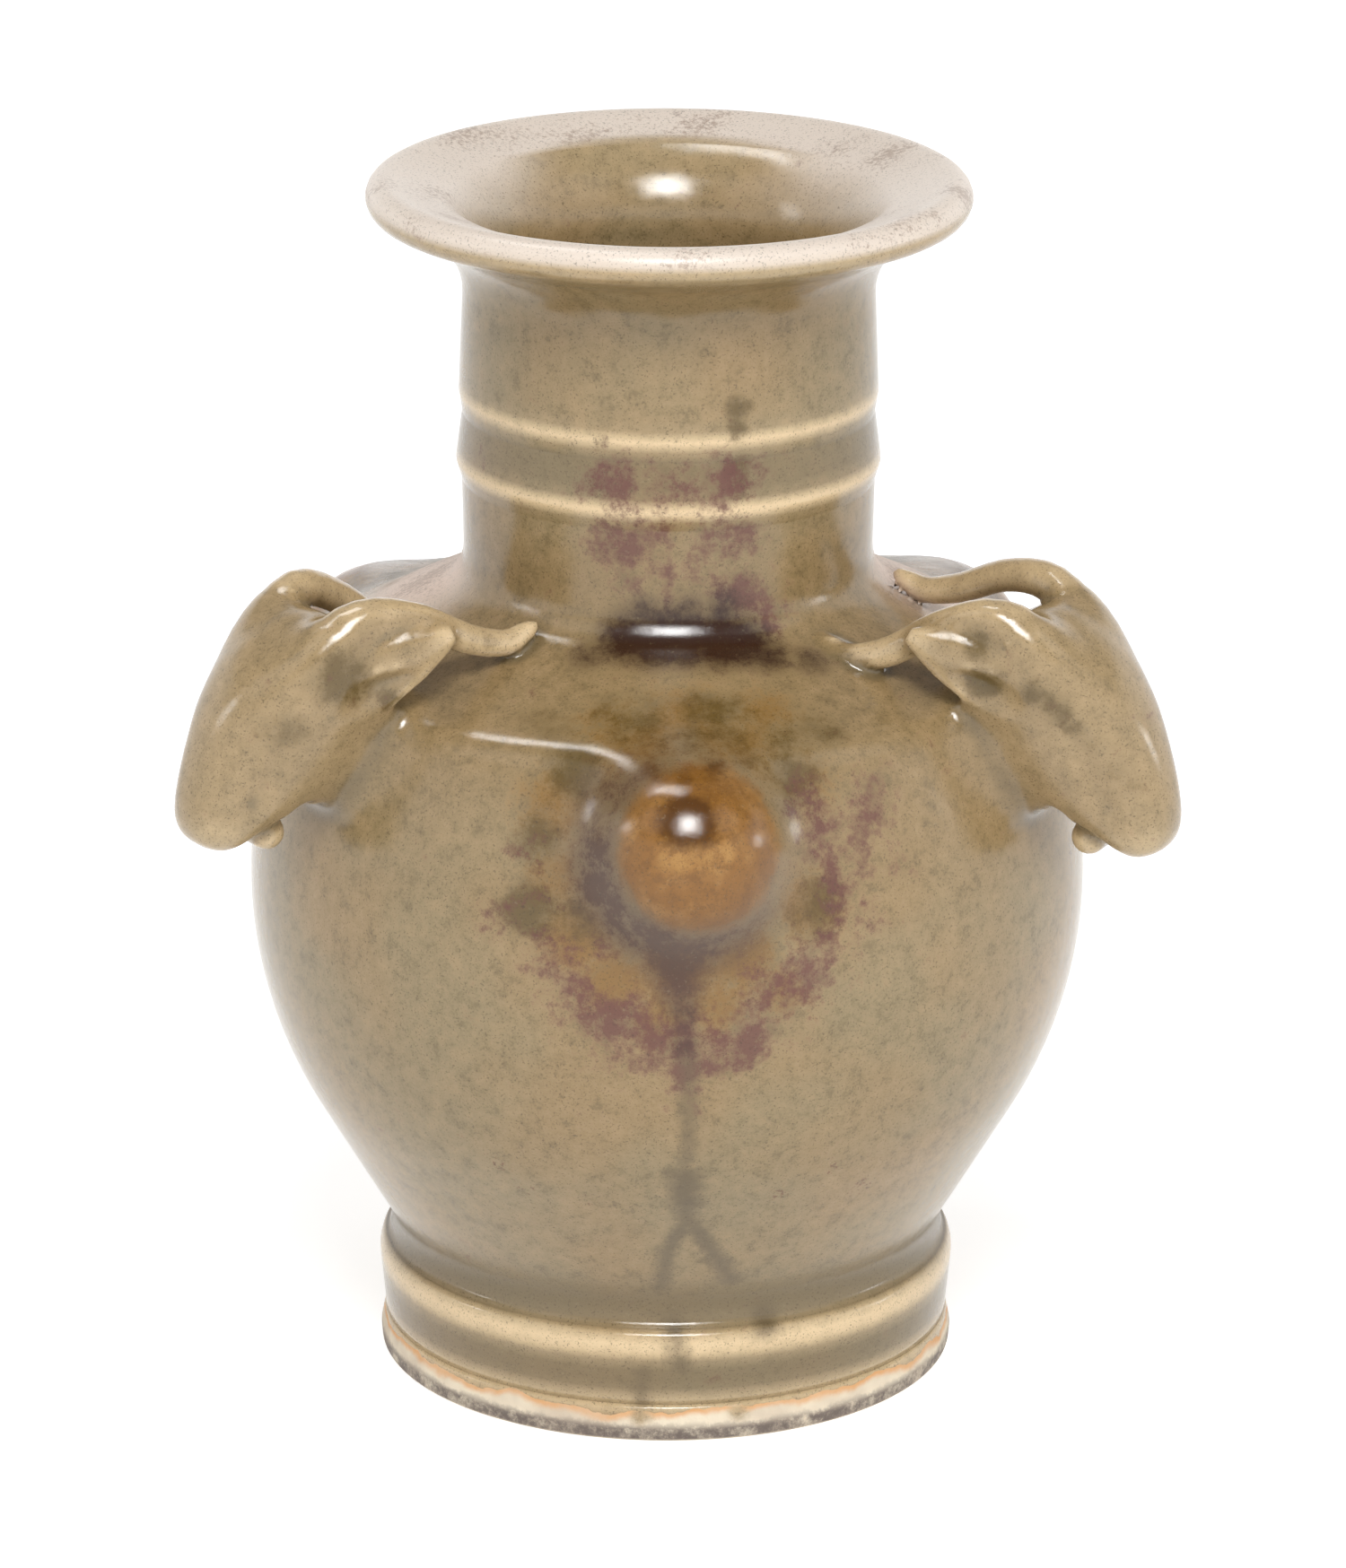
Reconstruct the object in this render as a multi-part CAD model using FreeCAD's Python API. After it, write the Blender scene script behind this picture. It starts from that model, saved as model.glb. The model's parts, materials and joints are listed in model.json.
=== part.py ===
"""Celadon porcelain vase with horned animal heads, fired in one piece.

Millimetres, +Z up.  The origin is on the axis of the wheel, in the plane that the foot stands on.
-Y is the front, where a boss sits midway between two of the three heads.
"""
import FreeCAD, Part
import math
import os
from FreeCAD import Vector

# Turned body: heights above the standing plane and outer radii
foot_height = 16.8
widest_height = 62.0
neck_base_height = widest_height + 42.0
neck_length = 46.0
rim_height = neck_base_height + neck_length
body_radius = 51.5
neck_radius = 25.0
rim_radius = 36.6
foot_waist_radius = 34.2

# Arcs that make up the outer curve, from the foot to the mouth
waist_arc = 4.0
lower_belly_arc = 54.0
upper_belly_arc = 62.0
upper_belly_turn = 25.5
shoulder_arc = 6.5
neck_base_arc = 6.0
flare_arc = 7.8
flare_start = 0.3 * neck_length
lip_thickness = 4.6
mouth_arc = 7.5
mouth_drop = 2.2
shortest_edge = 0.001

# Wall, floor, and the two raised rings round the neck, each steep below and gentle above
wall_thickness = 3.4
floor_thickness = 6.0
floor_arc = 8.0
ring_lifts = (0.244 * neck_length, 0.43 * neck_length)
ring_rises = (0.85, 0.5)
ring_step = 2.6
ring_arc = 1.2

# Foot: a bare flange, a glazed wall above it with one soft ridge, and a hollow underside
flange_radius = 35.9
flange_height = 2.3
flange_step = 0.5
flange_chamfer = 0.6
foot_ridge_height = 12.2
foot_ridge_rise = 0.5
foot_ridge_arc = 4.0
foot_ring_width = 5.0
foot_hollow_depth = 6.0

# Bosses on the shoulder, one between each pair of heads; the two at the back sit nearer their head
boss_height = widest_height + 18.6
boss_radius = 11.2
boss_rise = 8.3
boss_sink = 3.0
boss_turns = (0.0, 9.0, -10.5)
boss_lifts = (0.0, 1.2, 1.2)

# Heads: how many, where the first boss faces, and the crown's place against the body
head_count = 3
front_boss_angle = -90.0
crown_height = widest_height + 39.2
crown_inset = 0.6
skull_half_width = 10.0
brow_squareness = 1.1

# Each head was modelled by hand, so lift, tilt, face length and horn droops differ a little
head_lifts = (-0.6, 0.0, 0.2)
head_tilts = (21.0, 21.5, 23.0)
face_lengths = (29.3, 28.6, 28.0)
horn_droops = ((2.6, 0.0), (1.0, 1.4), (1.9, 1.1))

# Horns and ears, measured from the middle of the crown
horn_base_spread = 5.8
horn_tip_spread = 10.6
horn_base_radius = 2.8
horn_radius = 2.0
horn_arch_rise = 3.4
horn_neck_gap = 3.3
horn_tip_rise = 1.4
ear_reach = 11.8
ear_spread = 12.4
ear_half_height = 4.8
ear_thickness = 3.4
ear_scoop_radius = 3.0
lip_lump_radius = 2.2


def line_between(first, second):
    """End points and left-hand normal of the line that touches two turns of the outline.

    A turn is (radius, height, arc): the centre of an arc that turns left where arc is positive
    and right where it is negative.  An arc of 0 is a sharp corner.
    """
    step = Vector(second[0] - first[0], 0, second[1] - first[1])
    change = second[2] - first[2]
    gap = step.Length ** 2 - change ** 2
    length = math.sqrt(gap) if gap > shortest_edge ** 2 else 0
    heading = math.atan2(step.z, step.x) - math.atan2(change, length)
    normal = Vector(-math.sin(heading), 0, math.cos(heading))
    start = Vector(first[0], 0, first[1]) - normal * first[2]
    end = Vector(second[0], 0, second[1]) - normal * second[2]
    return start, end, normal


def turned_edges(turns):
    """Tangent arcs and straight lines through a row of turns, as edges in the plane Y = 0."""
    edges = []
    lines = [line_between(first, second) for first, second in zip(turns, turns[1:])]
    for place, (start, end, normal) in enumerate(lines):
        if (end - start).Length > shortest_edge:
            edges.append(Part.makeLine(start, end))
        if place + 1 < len(lines) and turns[place + 1][2]:
            radius, height, arc = turns[place + 1]
            next_start, next_normal = lines[place + 1][0], lines[place + 1][2]
            middle = Vector(radius, 0, height) - (normal + next_normal).normalize() * arc
            edges.append(Part.Arc(end, middle, next_start).toShape())
    return edges


def belly_turns(wall):
    """Turns of the belly and shoulder, going up, with the surface a wall thickness further in."""
    corner_angle = math.radians(upper_belly_turn)
    corner_reach = upper_belly_arc - shoulder_arc
    corner_radius = body_radius - upper_belly_arc + corner_reach * math.cos(corner_angle)
    corner_height = widest_height + corner_reach * math.sin(corner_angle)
    return [
        (body_radius - lower_belly_arc, widest_height, lower_belly_arc - wall),
        (body_radius - upper_belly_arc, widest_height, upper_belly_arc - wall),
        (corner_radius, corner_height, shoulder_arc - wall),
        (neck_radius + neck_base_arc, neck_base_height, -neck_base_arc - wall),
    ]


def foot_turns():
    """Turns of the foot, going up from the inside of its standing ring to the waist."""
    wall_radius = flange_radius - flange_step
    inner_radius = flange_radius - foot_ring_width
    ridge_centre = wall_radius + foot_ridge_rise - foot_ridge_arc
    return [
        (0, foot_hollow_depth, 0),
        (inner_radius - 2 * flange_chamfer, foot_hollow_depth - flange_chamfer, 0),
        (inner_radius, 0, 0),
        (flange_radius - flange_chamfer, 0, 0),
        (flange_radius, flange_chamfer, 0),
        (flange_radius, flange_height, 0),
        (wall_radius, flange_height + flange_step, 0),
        (ridge_centre, foot_ridge_height, foot_ridge_arc),
        (foot_waist_radius + waist_arc, foot_height, -waist_arc),
    ]


def neck_turns():
    """Turns of the neck's two raised rings, the flare, the rolled lip and the mouth."""
    turns = []
    for lift, rise in zip(ring_lifts, ring_rises):
        height = neck_base_height + lift
        seat = neck_radius + 0.2 * rise
        turns.append((seat + ring_arc, height - ring_step, -ring_arc))
        turns.append((neck_radius + rise - ring_arc, height, ring_arc))
    lip_arc = lip_thickness / 2
    bore = neck_radius - wall_thickness
    turns.append((neck_radius + flare_arc, rim_height - flare_start, -flare_arc))
    turns.append((rim_radius - lip_arc, rim_height - lip_arc, lip_arc))
    turns.append((bore + mouth_arc, rim_height - mouth_drop - mouth_arc, mouth_arc))
    return turns


def inside_turns():
    """Turns of the hollow, going down from the bore of the neck to the middle of the floor."""
    floor_height = foot_hollow_depth + floor_thickness
    inner = [(radius, height, -arc) for radius, height, arc in reversed(belly_turns(wall_thickness))]
    floor_corner = foot_waist_radius - wall_thickness - floor_arc
    inner.append((floor_corner, floor_height + floor_arc, -floor_arc))
    inner.append((0, floor_height, 0))
    return inner


def turned_vase():
    """The thrown vase: one closed outline turned about the axis."""
    turns = foot_turns() + belly_turns(0) + neck_turns() + inside_turns()
    turns.append(turns[0])
    outline = Part.Wire(turned_edges(turns))
    return Part.Face(outline).revolve(Vector(0, 0, 0), Vector(0, 0, 1), 360)


def boss(lift):
    """A round dome, nearly half a ball, square to the belly's surface, in the plane Y = 0."""
    centre = Vector(body_radius - upper_belly_arc, 0, widest_height)
    rise = (boss_height + lift - widest_height) / upper_belly_arc
    outward = Vector(math.sqrt(1 - rise ** 2), 0, rise)
    seat = centre + outward * upper_belly_arc
    ball_radius = (boss_radius ** 2 + boss_rise ** 2) / (2 * boss_rise)
    ball = Part.makeSphere(ball_radius, seat + outward * (boss_rise - ball_radius))
    plug = Part.makeCylinder(1.3 * boss_radius, boss_rise + boss_sink, seat - outward * boss_sink, outward)
    return ball.common(plug)


def ring_wire(centre, outward, sideways, halves, squareness=1.0):
    """Closed smooth curve round a centre; halves gives outward, sideways and inward half sizes."""
    top, side, bottom = halves
    points = []
    for turn in range(0, 360, 45):
        angle = math.radians(turn)
        reach = top if math.cos(angle) > 0 else bottom
        fill = squareness if turn % 90 else 1.0
        point = outward * (fill * reach * math.cos(angle)) + sideways * (fill * side * math.sin(angle))
        points.append(centre + point)
    curve = Part.BSplineCurve()
    curve.interpolate(points, PeriodicFlag=True)
    return Part.Wire(curve.toShape())


def face_directions(tilt):
    """Directions down the face and square out of it, for a face that leans out by a tilt."""
    slope = math.radians(tilt)
    down = Vector(math.sin(slope), 0, -math.cos(slope))
    outward = Vector(math.cos(slope), 0, math.sin(slope))
    return down, outward


def skull(crown, tilt, length):
    """Head from crown to snout: smooth sections square to the face, their backs in the vase wall."""
    down, outward = face_directions(tilt)
    sideways = Vector(0, 1, 0)
    wide = skull_half_width
    stations = [
        (-0.07, -0.5, 0.20 * wide, 0.55 * wide, 0.40 * wide),
        (0.02, -0.7, 0.52 * wide, 0.85 * wide, 0.80 * wide),
        (0.20, -1.0, 0.90 * wide, 1.02 * wide, 1.20 * wide),
        (0.42, -0.5, 1.00 * wide, 0.96 * wide, 1.25 * wide),
        (0.63, 0.5, 0.92 * wide, 0.79 * wide, 1.20 * wide),
        (0.845, 2.6, 0.61 * wide, 0.64 * wide, 0.40 * wide),
        (0.96, 4.0, 0.33 * wide, 0.46 * wide, 0.28 * wide),
        (1.00, 4.2, 0.14 * wide, 0.24 * wide, 0.13 * wide),
    ]
    sections = []
    for share, lean, top, side, bottom in stations:
        centre = crown + down * (share * length) + outward * lean
        square = 1 + (brow_squareness - 1) * max(1 - share, 0)
        sections.append(ring_wire(centre, outward, sideways, (top, side, bottom), square))
    return Part.makeLoft(sections, True, False)


def lower_lip(crown, tilt, length):
    """Rounded lower lip under the snout: a short bar with ball ends."""
    down, outward = face_directions(tilt)
    centre = crown + down * (0.875 * length) - outward * 2.3
    half_width = 0.8 * lip_lump_radius
    bar = Part.makeCylinder(lip_lump_radius, 2 * half_width, centre - Vector(0, half_width, 0), Vector(0, 1, 0))
    ends = [Part.makeSphere(lip_lump_radius, centre + Vector(0, side * half_width, 0)) for side in (-1, 1)]
    return bar.fuse(ends)


def tapered_loft(path, halves):
    """Loft of smooth sections along a path, each square to it; halves are (upright, sideways)."""
    sections = []
    for place, (upright, side) in enumerate(halves):
        before = path[max(place - 1, 0)]
        after = path[min(place + 1, len(path) - 1)]
        along = (after - before).normalize()
        sideways = Vector(0, 0, 1).cross(along).normalize()
        up = along.cross(sideways).normalize()
        sections.append(ring_wire(path[place], up, sideways, (upright, side, upright)))
    return Part.makeLoft(sections, True, False)


def horn(crown, side, droop):
    """Horn that rises from the brow, arches back over the shoulder and turns up at its tip."""
    tip_reach = math.sqrt((neck_radius + horn_neck_gap) ** 2 - horn_tip_spread ** 2)
    reach = crown.x - tip_reach
    spread = horn_tip_spread - horn_base_spread
    shape = [
        (-0.20, -7.0, -0.2, 0.9 * horn_base_radius),
        (-0.10, -1.6, 0.1, horn_base_radius),
        (0.12, horn_arch_rise - 0.6, 0.4, 1.2 * horn_radius),
        (0.38, 0.75 * horn_arch_rise, 0.7, horn_radius),
        (0.64, -0.1, 0.9, 0.95 * horn_radius),
        (0.84, -1.3, 1.0, 0.85 * horn_radius),
        (1.00, horn_tip_rise - 1.2, 1.0, 0.25 * horn_radius),
    ]
    path = []
    halves = []
    for share, lift, out, half in shape:
        height = crown.z + lift - droop * min(max(share + 0.1, 0) / 0.5, 1)
        path.append(Vector(crown.x - share * reach, side * (horn_base_spread + out * spread), height))
        halves.append((half, 1.1 * half))
    return tapered_loft(path, halves)


def ear(crown, side):
    """Leaf-shaped ear that lies back along the horn, scooped out on its outer face."""
    root = Vector(crown.x + 2.0, side * (ear_spread - 3.6), crown.z - 5.0)
    tip = Vector(crown.x - ear_reach, side * ear_spread, crown.z + 0.2)
    shape = [(0.0, 0.0, 1.1, 1.1), (0.38, 0.62, 0.97, 0.95), (0.74, 0.92, 0.55, 0.7), (1.0, 1.0, 0.1, 0.25)]
    path = [Vector(root.x + share * (tip.x - root.x), root.y + out * (tip.y - root.y),
                   root.z + share * (tip.z - root.z)) for share, out, tall, wide in shape]
    halves = [(ear_half_height * tall, ear_thickness / 2 * wide) for share, out, tall, wide in shape]
    leaf = tapered_loft(path, halves)
    scoop = Part.makeSphere(ear_scoop_radius)
    scoop.translate(path[1] + Vector(1.0, side * (ear_thickness / 2 + 0.57 * ear_scoop_radius), -1.4))
    return leaf.cut(scoop)


def head(place):
    """One horned head in the plane Y = 0, facing +X, with its neck end inside the vase wall."""
    crown = Vector(body_radius - crown_inset, 0, crown_height + head_lifts[place])
    tilt = head_tilts[place]
    length = face_lengths[place]
    whole = skull(crown, tilt, length).fuse(lower_lip(crown, tilt, length))
    for side, droop in zip((-1, 1), horn_droops[place]):
        whole = whole.fuse(horn(crown, side, droop))
        whole = whole.fuse(ear(crown, side))
    return whole


def vase():
    """The whole fired piece: turned body, heads and bosses, with the hollow kept open."""
    whole = turned_vase()
    step = 360 / head_count
    for place in range(head_count):
        dome = boss(boss_lifts[place])
        dome.rotate(Vector(0, 0, 0), Vector(0, 0, 1), front_boss_angle + place * step + boss_turns[place])
        whole = whole.fuse(dome)
        beast = head(place)
        beast.rotate(Vector(0, 0, 0), Vector(0, 0, 1), front_boss_angle + (place + 0.5) * step)
        whole = whole.fuse(beast)
    return whole


os.makedirs("parts", exist_ok=True)
piece = vase()
print("solids", len(piece.Solids), "valid", piece.isValid(), "volume", round(piece.Volume))
piece.exportStep("parts/vase.step")
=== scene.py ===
# %% [markdown]
# # Celadon vase with horned heads
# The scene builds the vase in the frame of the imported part, in metres, +Z up, with -Y to the front.
# The order is: the thrown body, the modelled heads and bosses, the joining of both into one skin,
# the places where the glaze runs thin, thick or red, the glaze itself, and last the studio.
# Lengths are in millimetres until a mesh or a lamp is made.

import functools
import json
import math

import bpy
import numpy as np
from mathutils import Matrix, Vector
from mathutils.geometry import delaunay_2d_cdt

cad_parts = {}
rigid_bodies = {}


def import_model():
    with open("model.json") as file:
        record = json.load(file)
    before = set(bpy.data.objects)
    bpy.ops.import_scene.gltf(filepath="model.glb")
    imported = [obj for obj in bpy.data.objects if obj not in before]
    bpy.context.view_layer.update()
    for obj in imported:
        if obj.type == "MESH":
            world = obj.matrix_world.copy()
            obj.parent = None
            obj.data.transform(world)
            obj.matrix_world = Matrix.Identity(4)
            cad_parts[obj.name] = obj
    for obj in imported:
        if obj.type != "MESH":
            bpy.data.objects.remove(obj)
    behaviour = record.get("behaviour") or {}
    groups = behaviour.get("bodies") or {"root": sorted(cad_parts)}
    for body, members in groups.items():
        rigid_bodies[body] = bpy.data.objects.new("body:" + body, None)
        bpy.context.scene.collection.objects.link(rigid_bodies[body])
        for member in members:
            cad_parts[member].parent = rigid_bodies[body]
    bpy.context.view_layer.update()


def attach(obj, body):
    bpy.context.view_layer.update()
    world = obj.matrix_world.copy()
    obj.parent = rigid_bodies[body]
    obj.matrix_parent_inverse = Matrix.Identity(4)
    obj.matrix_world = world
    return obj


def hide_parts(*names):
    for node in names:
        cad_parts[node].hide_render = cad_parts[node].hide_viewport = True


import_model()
MM = 0.001

# %% [markdown]
# ## The thrown outline
# A thrower works with a few steady sweeps of the hand, so the outline is a row of arcs that touch
# each other. A turn is (radius, height, arc): left-hand bends are positive, right-hand ones negative.
# The same row of turns could be a Bezier curve, but arcs keep every radius a number that can be read.

# %% Outline of the body
FOOT_TURNS = [
    (0, 6.0, 0), (29.7, 5.4, 0.5), (31.1, 0.4, 0.4), (35.2, 0.55, 0.55), (35.25, 1.75, 0.6),
    (33.2, 4.6, 2.05), (31.95, 12.2, 4.0), (38.2, 16.8, -4.0)]
BELLY_TURNS = [
    (-2.5, 62.0, 54.0), (-10.5, 62.0, 62.0), (39.59, 85.9, 6.5), (31.0, 104.0, -6.0)]
NECK_TURNS = [
    (26.37, 112.62, -1.2), (24.65, 115.22, 1.2), (26.3, 121.18, -1.2), (24.3, 123.78, 1.2),
    (32.8, 136.2, -7.8), (34.3, 147.7, 2.3), (29.1, 140.3, 7.5)]
INSIDE_TURNS = [
    (31.0, 104.0, 9.4), (39.59, 85.9, -3.1), (-10.5, 62.0, -58.6), (-2.5, 62.0, -50.6),
    (22.8, 20.0, -8.0), (0, 12.0, 0)]


def tangent(first, second):
    """Touching points and left-hand normal of the line from one turn to the next."""
    step = np.subtract(second[:2], first[:2])
    change = second[2] - first[2]
    gap = step @ step - change ** 2
    length = math.sqrt(gap) if gap > 1e-4 else 0.0
    heading = math.atan2(step[1], step[0]) - math.atan2(change, length)
    normal = np.array([-math.sin(heading), math.cos(heading)])
    return np.array(first[:2]) - normal * first[2], np.array(second[:2]) - normal * second[2], normal


def sampled_outline(turns, spacing):
    """Points along the arcs and lines of an outline, closer together on small arcs."""
    lines = [tangent(a, b) for a, b in zip(turns, turns[1:])]
    points = [lines[0][0]]
    for place, (start, end, normal) in enumerate(lines):
        count = max(1, math.ceil(np.linalg.norm(end - start) / spacing))
        points += [start + (end - start) * share for share in np.linspace(0, 1, count + 1)[1:]]
        if place + 1 < len(lines) and turns[place + 1][2]:
            centre = np.array(turns[place + 1][:2])
            arc = turns[place + 1][2]
            turned = np.cross(normal, lines[place + 1][2])
            sweep = math.atan2(turned, normal @ lines[place + 1][2])
            steps = max(2, math.ceil(abs(sweep * arc) / spacing), math.ceil(abs(sweep) / 0.35))
            for share in np.linspace(0, 1, steps + 1)[1:]:
                bend = sweep * share
                spoke = np.array([normal[0] * math.cos(bend) - normal[1] * math.sin(bend),
                                  normal[0] * math.sin(bend) + normal[1] * math.cos(bend)])
                points.append(centre - spoke * arc)
    kept = [points[0]]
    for point in points[1:]:
        if np.linalg.norm(point - kept[-1]) > 0.05:
            kept.append(point)
    return np.array(kept)


OUTER_TURNS = FOOT_TURNS + BELLY_TURNS + NECK_TURNS
OUTER_SPACING = 1.45
INNER_SPACING = 3.2
outer_line = sampled_outline(OUTER_TURNS, OUTER_SPACING)
inner_line = sampled_outline(OUTER_TURNS[-1:] + INSIDE_TURNS, INNER_SPACING)
outline = np.vstack([outer_line, inner_line])
outline[0, 0] = outline[-1, 0] = 0.0
print(len(outline), "points round the section, tallest", outline[:, 1].max())

# %% [markdown]
# ## Turning the outline
# On the real vase the wheel makes the round form. Here a Geometry Nodes tree does: a grid has one
# row for each outline point and one column for each direction, and each grid point reads its radius
# and height from the outline by its row. Screw or Spin would do too, but the tree keeps its inputs.


# %% Helpers that add nodes
def socket_of(node, name):
    """Input of a node by its name, or by i and its number."""
    if name[0] == "i" and name[1:].isdigit():
        return node.inputs[int(name[1:])]
    return node.inputs[name.replace("_", " ")]


def node_maker(tree):
    """Returns a function that adds a node: its type, settings, then values or links by socket."""
    def add(kind, settings=None, **inputs):
        node = tree.nodes.new(kind)
        for name, value in (settings or {}).items():
            setattr(node, name, value)
        for name, value in inputs.items():
            socket = socket_of(node, name)
            if isinstance(value, bpy.types.NodeSocket):
                tree.links.new(value, socket)
            else:
                socket.default_value = value
        return node
    return add


# %% [markdown]
# The tree takes the outline as its geometry, and the counts and the finish as inputs. It places the
# grid, merges the first column with the last and each pole into one point, and dresses the skin.


# %% Tree that turns an outline
def turning_tree():
    """Geometry Nodes tree: outline points in, closed turned surface out."""
    tree = bpy.data.node_groups.new("Turn outline", "GeometryNodeTree")
    face = tree.interface
    face.new_socket("Outline", in_out="INPUT", socket_type="NodeSocketGeometry")
    columns = face.new_socket("Columns", in_out="INPUT", socket_type="NodeSocketInt")
    rows = face.new_socket("Rows", in_out="INPUT", socket_type="NodeSocketInt")
    finish = face.new_socket("Finish", in_out="INPUT", socket_type="NodeSocketMaterial")
    face.new_socket("Surface", in_out="OUTPUT", socket_type="NodeSocketGeometry")
    add = node_maker(tree)
    given = add("NodeGroupInput").outputs
    seam = add("ShaderNodeMath", {"operation": "ADD"}, i0=given["Columns"], i1=1.0).outputs[0]
    grid = add("GeometryNodeMeshGrid")
    tree.links.new(seam, grid.inputs["Vertices X"])
    tree.links.new(given["Rows"], grid.inputs["Vertices Y"])
    index = add("GeometryNodeInputIndex").outputs[0]
    ratio = add("ShaderNodeMath", {"operation": "DIVIDE"}, i0=index, i1=given["Rows"]).outputs[0]
    column = add("ShaderNodeMath", {"operation": "FLOOR"}, i0=ratio).outputs[0]
    row = add("ShaderNodeMath", {"operation": "MODULO"}, i0=index, i1=given["Rows"]).outputs[0]
    place = add("GeometryNodeInputPosition").outputs[0]
    read = add("GeometryNodeSampleIndex", {"data_type": "FLOAT_VECTOR", "domain": "POINT"})
    tree.links.new(given["Outline"], read.inputs["Geometry"])
    tree.links.new(place, read.inputs["Value"])
    tree.links.new(row, read.inputs["Index"])
    share = add("ShaderNodeMath", {"operation": "DIVIDE"}, i0=column, i1=given["Columns"]).outputs[0]
    angle = add("ShaderNodeMath", {"operation": "MULTIPLY"}, i0=share, i1=2 * math.pi).outputs[0]
    spun = add("ShaderNodeVectorRotate", {"rotation_type": "Z_AXIS"},
               Vector=read.outputs["Value"], Angle=angle)
    moved = add("GeometryNodeSetPosition", None, Geometry=grid.outputs["Mesh"], Position=spun.outputs[0])
    joined = add("GeometryNodeMergeByDistance", None, Geometry=moved.outputs[0], Distance=2e-6)
    real = add("GeometryNodeRealizeInstances", None, Geometry=joined.outputs[0])
    dressed = add("GeometryNodeSetMaterial", None, Geometry=real.outputs[0], Material=given["Finish"])
    tree.links.new(dressed.outputs[0], add("NodeGroupOutput").inputs["Surface"])
    return tree, columns.identifier, rows.identifier, finish.identifier


# %% [markdown]
# The modifier is run once and its result is kept as a plain mesh, because the heads have to be cut
# into it. The outline itself isn't shown, so it is removed again.


# %% The turned body
def baked(source):
    """The evaluated mesh of an object as a plain mesh."""
    graph = bpy.context.evaluated_depsgraph_get()
    return bpy.data.meshes.new_from_object(source.evaluated_get(graph))


glaze = bpy.data.materials.new("celadon glaze")
COLUMNS = 208
rail_mesh = bpy.data.meshes.new("outline")
rail_mesh.from_pydata([(r * MM, 0, z * MM) for r, z in outline],
                      [(k, k + 1) for k in range(len(outline) - 1)], [])
rail = bpy.data.objects.new("outline", rail_mesh)
bpy.context.scene.collection.objects.link(rail)
tree, columns_id, rows_id, finish_id = turning_tree()
turning = rail.modifiers.new("Turn", "NODES")
turning.node_group = tree
turning[columns_id] = COLUMNS
turning[rows_id] = len(outline)
turning[finish_id] = glaze
body_mesh = baked(rail)
rail.modifiers.clear()
bpy.data.objects.remove(rail)
body_points = np.array([v.co for v in body_mesh.vertices]) / MM
body_faces = [tuple(f.vertices) for f in body_mesh.polygons]
print("turned body:", len(body_points), "points,", len(body_faces), "faces")

# %% [markdown]
# ## Heads and bosses as distance fields
# The potter models each head in soft clay and smooths it into the wall with a wet finger. A field
# that says how far a place is from the clay does the same: two fields are joined by a smooth
# minimum, which leaves a fillet, and carved by a smooth maximum. Metaballs or a sculpted mesh could
# do it, but a field keeps each length, fillet and crease as a number.
# A head's own frame has u straight out from the axis, v along the wall and z up.

# %% Fields
def join(a, b, soft):
    """Smooth minimum: clay added with a fillet of about that size."""
    share = np.clip(0.5 + 0.5 * (b - a) / soft, 0, 1)
    return b + (a - b) * share - soft * share * (1 - share)


def carve(a, b, soft):
    """Smooth maximum with the outside of b: b is pressed out of a."""
    return -join(-a, b, soft)


# %% [markdown]
# Two distances are needed: from the turned body, which is a chain of short lines spun round the
# axis, and from a bar of changing thickness, which serves for horns, lips and carved grooves.


# %% Distances from the body and from bars
def to_body(points):
    """Signed distance from the outer skin of the turned body, without heads."""
    spots = np.stack([np.hypot(points[:, 0], points[:, 1]), points[:, 2]], 1)
    low = spots[:, 1].min() - 14
    high = spots[:, 1].max() + 14
    chain = SKIN[(SKIN[:, 1] > low) & (SKIN[:, 1] < high)]
    nearest = np.full(len(spots), 1e9)
    sign = np.ones(len(spots))
    for start, end in zip(chain, chain[1:]):
        step = end - start
        gap = spots - start
        share = np.clip(gap @ step / (step @ step), 0, 1)
        away = gap - share[:, None] * step
        distance = (away ** 2).sum(1)
        closer = distance < nearest
        nearest[closer] = distance[closer]
        side = step[1] * gap[closer, 0] - step[0] * gap[closer, 1]
        sign[closer] = np.where(side > 0, 1.0, -1.0)
    return np.sqrt(nearest) * sign


def to_path(points, path, radii, squash=1.0):
    """Distance from a round bar of changing radius that follows a path; squash flattens it in v."""
    spread = np.array([1.0, 1.0 / squash, 1.0])
    places = points * spread
    nearest = np.full(len(points), 1e9)
    for start, end, first, last in zip(path * spread, path[1:] * spread, radii, radii[1:]):
        step = end - start
        gap = places - start
        share = np.clip(gap @ step / (step @ step), 0, 1)
        away = np.linalg.norm(gap - share[:, None] * step, axis=1) - (first + (last - first) * share)
        nearest = np.minimum(nearest, away)
    return nearest


# %% [markdown]
# Horns and skull are drawn through a few knots, as a potter bends a coil between the fingers. A
# Bezier curve object could do it too, but here the radii are needed as numbers as well.


# %% Curves and the frame of a face
def smooth_path(knots, count):
    """Catmull-Rom curve through knots, as points and further columns such as radii."""
    knots = np.array(knots, float)
    ends = np.vstack([2 * knots[0] - knots[1], knots, 2 * knots[-1] - knots[-2]])
    out = []
    for place in np.linspace(0, len(knots) - 1, count):
        k = min(int(place), len(knots) - 2)
        t = place - k
        a, b, c, d = ends[k:k + 4]
        out.append(0.5 * (2 * b + (c - a) * t + (2 * a - 5 * b + 4 * c - d) * t ** 2
                          + (3 * b - a - 3 * c + d) * t ** 3))
    return np.array(out)


def face_frame(tilt):
    """Directions down the face and square out of it, in (u, v, z)."""
    slope = math.radians(tilt)
    return (np.array([math.sin(slope), 0, -math.cos(slope)]),
            np.array([math.cos(slope), 0, math.sin(slope)]))


# %% [markdown]
# The skull is a row of sections square to the face, given as a share of the face's length with how
# far each leans out and its half sizes to the front, side and back.

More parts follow.
